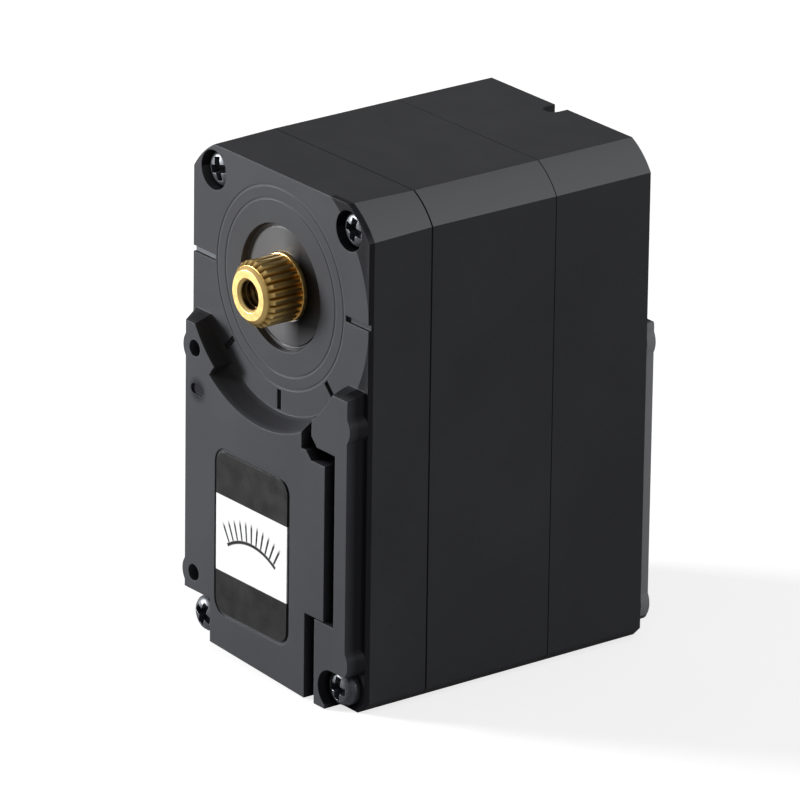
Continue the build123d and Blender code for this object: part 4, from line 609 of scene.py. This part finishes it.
def shaft_tree(finish):
    """Sets the teeth round the core and winds the thread's ridge inside the bore."""
    inputs = (("Tooth", "NodeSocketObject", None), ("Teeth", "NodeSocketInt", 25))
    inputs += (("Bore Radius", "NodeSocketFloat", 0.00125), ("Thread Turns", "NodeSocketFloat", 14.0))
    inputs += (("Thread Length", "NodeSocketFloat", 0.007),)
    tree, start, end = new_tree("splined_shaft", inputs)
    tooth = tree_node(tree, "GeometryNodeObjectInfo", {"Object": start.outputs["Tooth"]})
    spots = tree_node(tree, "GeometryNodePoints", {"Count": start.outputs["Teeth"]})
    index = tree_node(tree, "GeometryNodeInputIndex")
    step = tree_node(tree, "ShaderNodeMath", {0: 2 * pi, 1: start.outputs["Teeth"]}, operation="DIVIDE")
    angle = tree_node(tree, "ShaderNodeMath", {0: index.outputs[0], 1: step.outputs[0]}, operation="MULTIPLY")
    turn = tree_node(tree, "ShaderNodeCombineXYZ", {"Y": angle.outputs[0]})
    ring = {"Points": spots.outputs[0], "Instance": tooth.outputs["Geometry"], "Rotation": turn.outputs[0]}
    teeth = tree_node(tree, "GeometryNodeInstanceOnPoints", ring)
    thread = wound_thread(tree, start, start.outputs["Bore Radius"], M3_RIDGE, 4, 32, M3_START)
    finish_tree(tree, end, [start.outputs["Geometry"], teeth.outputs[0], thread], finish)
    return tree


shaft_brass = brass_finish("shaft_brass")
tooth = bpy.data.objects.new("spline_tooth", spline_tooth())
bpy.context.scene.collection.objects.link(tooth)
shaft_settings = {"Tooth": tooth, "Teeth": SPLINE_TEETH, "Bore Radius": BORE_RADIUS * MM}
shaft_settings |= {"Thread Turns": M3_LENGTH / M3_PITCH, "Thread Length": M3_LENGTH * MM}
shaft = made_by(shaft_tree(shaft_brass), "splined_shaft", shaft_core(), shaft_settings)
bpy.data.objects.remove(tooth)
shade_by_angle(shaft)
shaft_piece = put_piece("splined_shaft", shaft, "output", shaft_brass)
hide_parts("output_shaft")


# Dust washer: a thin ring of dark polished steel that shuts the bearing in, with a groove by its rim.
# Pressed from sheet: its face carries fine lines round the shaft, and a painted shadow of the shaft darkens
# its right side and dulls its gloss there.

WASHER_GREY = (0.062, 0.063, 0.067)
WASHER_PALE = (0.085, 0.086, 0.091)
# Near black for the painted shadow of the shaft on the washer.
SHAFT_SHADOW_BLACK = (0.003, 0.003, 0.004)
SHAFT_SHADOW_RADII = (3.3 * MM, 5.6 * MM)
SHAFT_SHADOW_SIDE = (-0.3 * MM, 2.0 * MM)
WASHER_LINE = 0.11


def washer_finish():
    finish = new_finish("washer_steel", WASHER_GREY, 0.34, specular=0.4)
    radius = radius_from_shaft(finish)
    smears = noise(finish, 4 * MM, 2)
    rings = waves(finish, radius, WASHER_LINE)
    pale = spread(finish, smears, 0.3, 0.7, 0.0, 0.5)
    across = add_node(finish, "ShaderNodeSeparateXYZ", {0: object_place(finish)}).outputs[0]
    # Painted shadow of the shaft: near black and less glossy near the shaft, on its right side.
    near_shaft = spread(finish, radius, *SHAFT_SHADOW_RADII, 1.0, 0.6)
    shaft_shadow_share = calculate(finish, "MULTIPLY", near_shaft, spread(finish, across, *SHAFT_SHADOW_SIDE))
    colour = blend_colours(finish, pale, WASHER_GREY, WASHER_PALE)
    feed_shader(finish, "Base Color", blend_colours(finish, shaft_shadow_share, colour, SHAFT_SHADOW_BLACK))
    feed_shader(finish, "Specular IOR Level", spread(finish, shaft_shadow_share, 0.0, 1.0, 0.4, 0.02))
    feed_shader(finish, "Roughness", spread(finish, smears, 0.3, 0.7, 0.32, 0.38))
    soft_edges(finish, 0.05 * MM, rings, 0.06, 0.004 * MM)
    return finish


dress(washer_finish(), "dust_washer")


# Front label: a printed film in the panel's pocket, black above and below with a white band between.
# The white carries a plain dial scale, an arc with fine ticks over it.

LABEL_WHITE_TOP = -20.1
LABEL_WHITE_FOOT = -27.1
LABEL_MIDDLE_X = -1.2
INK_BLACK = (0.012, 0.012, 0.013)
FILM_WHITE = (0.80, 0.80, 0.81)
FILM_GREY = (0.74, 0.74, 0.75)
PRINT_EDGE = 0.03
SCALE_RADIUS = 6.2
SCALE_CENTRE_Z = -29.6
SCALE_HALF_TURN = 33.2
TICK_TURN = 6
TICK_LENGTH = 1.8
ARC_LINE = 0.3


def label_finish():
    finish = new_finish("label_film", FILM_WHITE, 0.3, specular=0.25)
    parts = add_node(finish, "ShaderNodeSeparateXYZ", {0: object_place(finish)})
    height = parts.outputs[2]
    above = beyond(finish, height, (LABEL_WHITE_TOP - PRINT_EDGE) * MM, 2 * PRINT_EDGE * MM)
    below = short_of(finish, height, (LABEL_WHITE_FOOT - PRINT_EDGE) * MM, 2 * PRINT_EDGE * MM)
    inked = calculate(finish, "MAXIMUM", above, below)
    off_x = calculate(finish, "SUBTRACT", parts.outputs[0], LABEL_MIDDLE_X * MM)
    off_z = calculate(finish, "SUBTRACT", height, SCALE_CENTRE_Z * MM)
    turn = calculate(finish, "ARCTAN2", off_x, off_z)
    square = calculate(finish, "MULTIPLY_ADD", off_z, off_z, calculate(finish, "MULTIPLY", off_x, off_x))
    radius = calculate(finish, "SQRT", square)
    steps = calculate(finish, "MULTIPLY", turn, 180 / pi / TICK_TURN)
    nearest = calculate(finish, "SUBTRACT", steps, calculate(finish, "ROUND", steps))
    nearest = calculate(finish, "ABSOLUTE", nearest)
    tick = short_of(finish, nearest, 0.13, 0.04)
    tick_ring = band(finish, radius, (SCALE_RADIUS + TICK_LENGTH / 2) * MM, TICK_LENGTH * MM)
    inside = short_of(finish, calculate(finish, "ABSOLUTE", turn), radians(SCALE_HALF_TURN), radians(0.4))
    arc = band(finish, radius, SCALE_RADIUS * MM, ARC_LINE * MM)
    ticks = calculate(finish, "MAXIMUM", calculate(finish, "MULTIPLY", tick, tick_ring), arc)
    ticks = calculate(finish, "MULTIPLY", ticks, inside)
    inked = calculate(finish, "MAXIMUM", inked, ticks)
    paper = blend_colours(finish, noise(finish, 0.4 * MM, 3), FILM_WHITE, FILM_GREY)
    feed_shader(finish, "Base Color", blend_colours(finish, inked, paper, INK_BLACK))
    feed_shader(finish, "Roughness", spread(finish, noise(finish, 1.5 * MM, 2), 0.3, 0.7, 0.26, 0.4))
    soft_edges(finish, 0.04 * MM, noise(finish, 0.2 * MM, 2), 0.06, 0.006 * MM)
    return finish


dress(label_finish(), "front_label")


# Gears on their pins: brass wheels first and second, hardened steel third, brass output wheel.
# Hobbed, so their faces keep fine turning lines and the flanks are a little duller.

LEFT_PIN = (-2.3, -10.757)
RIGHT_PIN = (2.7, -18.952)
MOTOR_AXIS = (-2.0, -20.352)
HARD_STEEL = (0.46, 0.47, 0.49)
PIN_STEEL = (0.58, 0.59, 0.61)


def steel_finish(name, colour, roughness, axis=(0.0, 0.0), line=0.12):
    """Turned or ground steel with fine lines round its axis and faint handling marks."""
    finish = new_finish(name, colour, roughness, metallic=1.0)
    radius = radius_from_shaft(finish, axis[0] * MM, axis[1] * MM)
    marks = noise(finish, 0.8 * MM, 4)
    shade = tuple(0.62 * value for value in colour)
    feed_shader(finish, "Base Color", blend_colours(finish, spread(finish, marks, 0.3, 0.75), colour, shade))
    rings = waves(finish, radius, line)
    relief = calculate(finish, "MULTIPLY_ADD", rings, 0.3, marks)
    feed_shader(finish, "Roughness", spread(finish, marks, 0.3, 0.7, 0.8 * roughness, 1.3 * roughness))
    soft_edges(finish, 0.05 * MM, relief, 0.2, 0.006 * MM)
    return finish


dress(brass_finish("gear_brass_left", LEFT_PIN, 7.2, 7.8), "first_gear")
dress(brass_finish("gear_brass_right", RIGHT_PIN, 7.2, 7.8), "second_gear")
dress(brass_finish("gear_brass_output", (0, 0), 7.3, 8.1), "output_gear")
dress(brass_finish("gear_brass_motor", MOTOR_AXIS, 1.7, 2.5), "motor_pinion")
dress(steel_finish("gear_steel", HARD_STEEL, 0.3, LEFT_PIN), "third_gear")
dress(steel_finish("pin_steel", PIN_STEEL, 0.16), "left_gear_pin", "right_gear_pin", "motor_shaft")


# Bearings: a ball bearing behind the dust washer, and sintered bronze bushes for the shaft's rear end
# and the motor. Rings and balls are ground bright; the bushes are grainy and soaked with oil.

BRONZE = (0.42, 0.25, 0.11)
BRONZE_PORE = (0.16, 0.09, 0.04)
GROUND_STEEL = (0.66, 0.66, 0.68)


def bronze_finish():
    finish = new_finish("bush_bronze", BRONZE, 0.42, metallic=0.9)
    pores = spread(finish, noise(finish, 0.07 * MM, 2), 0.4, 0.62)
    feed_shader(finish, "Base Color", blend_colours(finish, pores, BRONZE_PORE, BRONZE))
    soft_edges(finish, 0.05 * MM, pores, 0.4, 0.01 * MM)
    return finish


bearing_steel = steel_finish("bearing_steel", GROUND_STEEL, 0.12, line=0.3)
dress(bearing_steel, "bearing_outer_ring", "bearing_balls", "bearing_inner_ring")
dress(bronze_finish(), "rear_bush", "motor_front_bush", "motor_rear_bush")


# Motor: a nickel-plated steel can with two ferrite magnets, a laminated three-pole core and a moulded
# end cap. The core's edge shows its laminations as fine lines across the shaft.

LAMINATION = 0.35
SEGMENT_WEAR = 0.5
CAN_NICKEL = (0.55, 0.55, 0.54)
CAP_CREAM = ((0.70, 0.68, 0.60), (0.62, 0.60, 0.53))
FERRITE = ((0.020, 0.020, 0.022), (0.045, 0.045, 0.047))
CORE_STEEL = ((0.22, 0.22, 0.23), (0.05, 0.05, 0.055))
COPPER = (0.62, 0.25, 0.10)
COPPER_WORN = (0.20, 0.07, 0.03)
CARBON = ((0.012, 0.012, 0.012), (0.04, 0.04, 0.042))


def banded_finish(name, colour, line_colour, pitch, roughness, metallic, turn_relief):
    """Colour crossed by fine lines along the motor's axis, such as laminations or commutator wear."""
    finish = new_finish(name, colour, roughness, metallic=metallic)
    parts = add_node(finish, "ShaderNodeSeparateXYZ", {0: object_place(finish)})
    ripples = waves(finish, parts.outputs[1], pitch)
    lines = spread(finish, ripples, 0.55, 0.95)
    marks = spread(finish, noise(finish, 0.6 * MM, 4), 0.3, 0.75, 0.0, 0.5)
    stained = blend_colours(finish, marks, colour, line_colour)
    feed_shader(finish, "Base Color", blend_colours(finish, lines, stained, line_colour))
    soft_edges(finish, 0.04 * MM, lines, turn_relief, 0.02 * MM)
    return finish


def grainy_finish(name, colour, other, grain, roughness, relief=0.2):
    """Moulded, sintered or printed surface: two near colours in a fine grain."""
    finish = new_finish(name, colour, roughness)
    fine = noise(finish, grain * MM, 3)
    broad = noise(finish, 12 * grain * MM, 2)
    broad = calculate(finish, "MULTIPLY", broad, 0.5)
    share = calculate(finish, "MULTIPLY_ADD", spread(finish, fine, 0.3, 0.7), 0.5, broad)
    feed_shader(finish, "Base Color", blend_colours(finish, share, colour, other))
    feed_shader(finish, "Roughness", spread(finish, fine, 0.3, 0.7, 0.85 * roughness, 1.15 * roughness))
    soft_edges(finish, 0.05 * MM, fine, relief, 0.01 * MM)
    return finish


dress(steel_finish("motor_steel", CAN_NICKEL, 0.28, MOTOR_AXIS, 0.25), "motor_can")
dress(grainy_finish("end_cap_plastic", *CAP_CREAM, 0.2, 0.5), "motor_end_cap")
dress(grainy_finish("magnet_ferrite", *FERRITE, 0.12, 0.6, 0.4), "motor_magnets")
dress(banded_finish("core_steel", *CORE_STEEL, LAMINATION, 0.45, 0.8, 0.5), "armature_core")
commutator_copper = banded_finish("commutator_copper", COPPER, COPPER_WORN, SEGMENT_WEAR, 0.3, 1.0, 0.2)
dress(commutator_copper, "motor_commutator")
dress(grainy_finish("brush_carbon", *CARBON, 0.1, 0.7, 0.5), "motor_brushes")


# Armature windings: enamelled copper wire wound round the three poles, packed in rows between them.
# Each run is a bundle of wires along the shaft; the CAD segments give the room they fill.

WIRE_RADIUS = 0.17
WINDING_INNER = 2.95
WINDING_OUTER = 4.0
WINDING_HALF_POLE = 1.75
WINDING_FRONT = 13.75
WINDING_REAR = 19.87
COPPER_DEEP = (0.45, 0.14, 0.05)


def wire_places():
    """Hexagonally packed wire centres between the poles, in X and Z about the motor's axis."""
    places = []
    pitch = 2.06 * WIRE_RADIUS
    row_pitch = 0.866 * pitch
    rows = int(2 * WINDING_OUTER / row_pitch) + 1
    for row in range(-rows, rows + 1):
        for column in range(-rows, rows + 1):
            x = pitch * (column + (row % 2) / 2)
            z = row_pitch * row
            reach = (x * x + z * z) ** 0.5
            if not WINDING_INNER + WIRE_RADIUS < reach < WINDING_OUTER - WIRE_RADIUS:
                continue
            clear = True
            for pole in range(3):
                turn = 2 * pi * (pole + 0.5) / 3
                along = x * cos(turn) + z * sin(turn)
                across = abs(z * cos(turn) - x * sin(turn))
                if along > 0 and across < WINDING_HALF_POLE + WIRE_RADIUS:
                    clear = False
            if clear:
                places.append((MOTOR_AXIS[0] + x, WINDING_FRONT, MOTOR_AXIS[1] + z))
    return places


def wire_tree(finish):
    """One straight wire with closed ends, set on every place."""
    inputs = (("Wire Radius", "NodeSocketFloat", 0.00017), ("Wire Length", "NodeSocketFloat", 0.006))
    tree, start, end = new_tree("wound_wires", inputs)
    foot = tree_node(tree, "GeometryNodeCurvePrimitiveLine", {"Start": (0, 0, 0)})
    reach = tree_node(tree, "ShaderNodeCombineXYZ", {"Y": start.outputs["Wire Length"]})
    tree.links.new(reach.outputs[0], foot.inputs["End"])
    round_wire = {"Resolution": 8, "Radius": start.outputs["Wire Radius"]}
    section = tree_node(tree, "GeometryNodeCurvePrimitiveCircle", round_wire)
    sweep = {"Curve": foot.outputs[0], "Profile Curve": section.outputs[0], "Fill Caps": True}
    wire = tree_node(tree, "GeometryNodeCurveToMesh", sweep)
    copies = {"Points": start.outputs["Geometry"], "Instance": wire.outputs[0]}
    placed = tree_node(tree, "GeometryNodeInstanceOnPoints", copies)
    finish_tree(tree, end, [placed.outputs[0]], finish)
    return tree


def wire_finish():
    finish = new_finish("winding_copper", COPPER, 0.26, metallic=0.85)
    tint = spread(finish, noise(finish, 0.5 * MM, 2), 0.35, 0.65)
    feed_shader(finish, "Base Color", blend_colours(finish, tint, COPPER, COPPER_DEEP))
    feed_shader(finish, "Roughness", spread(finish, noise(finish, 0.3 * MM, 2), 0.3, 0.7, 0.2, 0.34))
    return finish


winding_copper = wire_finish()
wires = made_by(
    wire_tree(winding_copper),
    "wound_wires",
    points_mesh("wire_places", wire_places()),
    {"Wire Radius": WIRE_RADIUS * MM, "Wire Length": (WINDING_REAR - WINDING_FRONT) * MM},
)
shade_by_angle(wires, 50)
wire_piece = put_piece("wound_wires", wires, "motor_rotor", winding_copper)
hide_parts("armature_windings")


# Position sensor on the output axis: a blue moulded body on the board with a white keyed rotor.
# Both are fine-grained plastic, the rotor a little yellowed.

SENSOR_BLUE = ((0.012, 0.055, 0.20), (0.02, 0.08, 0.26))
ROTOR_WHITE = ((0.70, 0.69, 0.63), (0.62, 0.61, 0.56))

dress(grainy_finish("sensor_plastic", *SENSOR_BLUE, 0.25, 0.42), "sensor_body")
dress(grainy_finish("rotor_plastic", *ROTOR_WHITE, 0.3, 0.5), "sensor_rotor")


# Control board: glass-fibre laminate under green mask, with copper tracks that show as paler lines.
# Chips are black moulded resin, the capacitor yellow, and every pin is tinned.

TRACK_PITCH = 0.8
VIA_SPACING = 2.4
WEAVE_PITCH = 0.22
MASK_GREEN = (0.010, 0.085, 0.045)
WEAVE_GREENS = ((0.008, 0.070, 0.036), (0.018, 0.11, 0.06))
TRACK_GREEN = (0.018, 0.125, 0.062)
PAD_TIN = (0.45, 0.43, 0.38)
CHIP_BLACK = ((0.012, 0.012, 0.013), (0.03, 0.03, 0.032))
RESIN_YELLOW = ((0.62, 0.34, 0.03), (0.52, 0.27, 0.02))
TIN_GREY = (0.60, 0.58, 0.54)


def board_finish():
    finish = new_finish("board_laminate", MASK_GREEN, 0.35)
    parts = add_node(finish, "ShaderNodeSeparateXYZ", {0: object_place(finish)})
    bend = calculate(finish, "MULTIPLY_ADD", noise(finish, 9 * MM, 0), 3 * TRACK_PITCH * MM, parts.outputs[0])
    tracks = spread(finish, waves(finish, bend, TRACK_PITCH), 0.72, 0.84)
    cells = {"Vector": object_place(finish), "Scale": 1 / (VIA_SPACING * MM), "Randomness": 0.8}
    reach = add_node(finish, "ShaderNodeTexVoronoi", cells).outputs["Distance"]
    pads = spread(finish, reach, 0.10, 0.12, 1.0, 0.0)
    tracks = calculate(finish, "MAXIMUM", tracks, pads)
    weave_x = waves(finish, parts.outputs[0], WEAVE_PITCH)
    weave_z = waves(finish, parts.outputs[2], WEAVE_PITCH)
    weave = spread(finish, calculate(finish, "MULTIPLY", weave_x, weave_z), -1, 1, 0.0, 0.35)
    base = blend_colours(finish, weave, *WEAVE_GREENS)
    masked = blend_colours(finish, tracks, base, TRACK_GREEN)
    feed_shader(finish, "Base Color", blend_colours(finish, pads, masked, PAD_TIN))
    soft_edges(finish, 0.05 * MM, tracks, 0.3, 0.02 * MM)
    return finish


dress(board_finish(), "main_board")
chip_resin = grainy_finish("chip_resin", *CHIP_BLACK, 0.15, 0.5)
dress(chip_resin, "controller_chip", "driver_chip", "voltage_regulator")
dress(grainy_finish("capacitor_resin", *RESIN_YELLOW, 0.5, 0.32), "bulk_capacitor")
tin = steel_finish("pin_plating", TIN_GREY, 0.24)
dress(tin, "sensor_pins", "motor_terminals", "socket_pins")


# Bus sockets: two black three-pin housings set into the rear wall, moulded in glossy nylon.
# Their pins share the board's tin plating.

NYLON_BLACK = ((0.014, 0.014, 0.015), (0.030, 0.030, 0.032))

socket_nylon = grainy_finish("socket_plastic", *NYLON_BLACK, 0.3, 0.36)
dress(socket_nylon, "left_socket", "right_socket")


# Stage: a white floor that keeps the servo's shadow, and soft lamps out of the picture.
# The world is level white: full for the camera, two fifths for reflections and a sixth for plain light.
# The camera stands where the photograph's camera was fitted.

FLOOR_HEIGHT = -35.04 * MM
FLOOR_GREY = 0.6
FLOOR_GLOW = 0.74
FAR_GLOW = 0.95
GLOW_REACH = (0.12, 0.6)
FLOOR_HALF_WIDTH = 3
SKY_LIGHT = 0.17
SKY_REFLECTION = 0.22
LAMPS_AIM = (0, 0.015, -0.012)


def floor_finish():
    """White floor, lifted to the background's white for the camera so that only the shadow shows."""
    finish = bpy.data.materials.new("floor_white")
    finish.use_nodes = True
    tree = finish.node_tree
    tree.nodes.remove(tree.nodes["Principled BSDF"])
    seen = add_node(finish, "ShaderNodeLightPath").outputs["Is Camera Ray"]
    away = add_node(finish, "ShaderNodeVectorMath", {0: object_place(finish)}, operation="LENGTH")
    away = away.outputs["Value"]
    strength = calculate(finish, "MULTIPLY", seen, spread(finish, away, *GLOW_REACH, FLOOR_GLOW, FAR_GLOW))
    glow = add_node(finish, "ShaderNodeEmission", {"Color": (1, 1, 1, 1), "Strength": strength})
    plain = add_node(finish, "ShaderNodeBsdfDiffuse", {"Color": (FLOOR_GREY, FLOOR_GREY, FLOOR_GREY, 1)})
    both = add_node(finish, "ShaderNodeAddShader", {0: glow.outputs[0], 1: plain.outputs[0]})
    tree.links.new(both.outputs[0], tree.nodes["Material Output"].inputs["Surface"])
    return finish


floor_mesh = bpy.data.meshes.new("floor")
corners = [(-1, -1), (1, -1), (1, 1), (-1, 1)]
corners = [(x * FLOOR_HALF_WIDTH, y * FLOOR_HALF_WIDTH, FLOOR_HEIGHT) for x, y in corners]
floor_mesh.from_pydata(corners, [], [(0, 1, 2, 3)])
floor_mesh.materials.append(floor_finish())
floor = bpy.data.objects.new("floor", floor_mesh)
bpy.context.scene.collection.objects.link(floor)

sky = bpy.data.worlds.new("studio")
bpy.context.scene.world = sky
sky.use_nodes = True
tree = sky.node_tree
back = tree.nodes["Background"]
back.inputs["Color"].default_value = (1, 1, 1, 1)
rays = tree_node(tree, "ShaderNodeLightPath").outputs
straight = {0: rays["Is Camera Ray"], 1: rays["Is Transmission Ray"]}
seen = tree_node(tree, "ShaderNodeMath", straight, operation="MAXIMUM")
mirrored = {0: rays["Is Glossy Ray"], 1: SKY_REFLECTION, 2: SKY_LIGHT}
light = tree_node(tree, "ShaderNodeMath", mirrored, operation="MULTIPLY_ADD")
level = tree_node(tree, "ShaderNodeMath", {0: seen.outputs[0], 1: light.outputs[0]}, operation="MAXIMUM")
tree.links.new(level.outputs[0], back.inputs["Strength"])


def soft_lamp(name, place, width, height, power):
    """Soft box that faces the servo and stays out of the picture itself."""
    data = bpy.data.lights.new(name, "AREA")
    data.shape = "RECTANGLE"
    data.size = width
    data.size_y = height
    data.energy = power
    lamp = bpy.data.objects.new(name, data)
    lamp.location = place
    lamp.rotation_euler = (Vector(LAMPS_AIM) - Vector(place)).to_track_quat("-Z", "Y").to_euler()
    lamp.visible_camera = False
    bpy.context.scene.collection.objects.link(lamp)


soft_lamp("key_front_left", (-0.34, -0.28, 0.03), 0.09, 0.2, 4.3)
soft_lamp("top_rear", (0.13, 0.40, 0.50), 0.26, 0.26, 0.2)
soft_lamp("side_rear", (0.45, 0.30, 0.12), 0.26, 0.26, 0.65)

PICTURE_PIXELS = 800
SENSOR_WIDTH = 36
FOCAL_PIXELS = 8901.67
SHIFT_PIXELS = (-18.93, -26.64)
TURN = radians(52.097)
RISE = radians(20.562)
ROLL = radians(0.824)
AIM = Vector((0, 0.015, -0.011))
DISTANCE = 0.76505

back_way = Vector((sin(TURN) * cos(RISE), -cos(TURN) * cos(RISE), sin(RISE)))
right_way = Vector((cos(TURN), sin(TURN), 0))
up_way = back_way.cross(right_way)
right_way, up_way = (
    right_way * cos(ROLL) + up_way * sin(ROLL),
    up_way * cos(ROLL) - right_way * sin(ROLL),
)
lens = bpy.data.cameras.new("camera")
lens.sensor_width = SENSOR_WIDTH
lens.lens = FOCAL_PIXELS / PICTURE_PIXELS * SENSOR_WIDTH
lens.shift_x = SHIFT_PIXELS[0] / PICTURE_PIXELS
lens.shift_y = SHIFT_PIXELS[1] / PICTURE_PIXELS
lens.clip_start = 0.01
lens.clip_end = 20
camera = bpy.data.objects.new("camera", lens)
turned_to = Matrix((right_way, up_way, back_way)).transposed().to_4x4()
camera.matrix_world = Matrix.Translation(AIM + back_way * DISTANCE) @ turned_to
bpy.context.scene.collection.objects.link(camera)
bpy.context.scene.camera = camera
bpy.context.scene.view_settings.view_transform = "Standard"
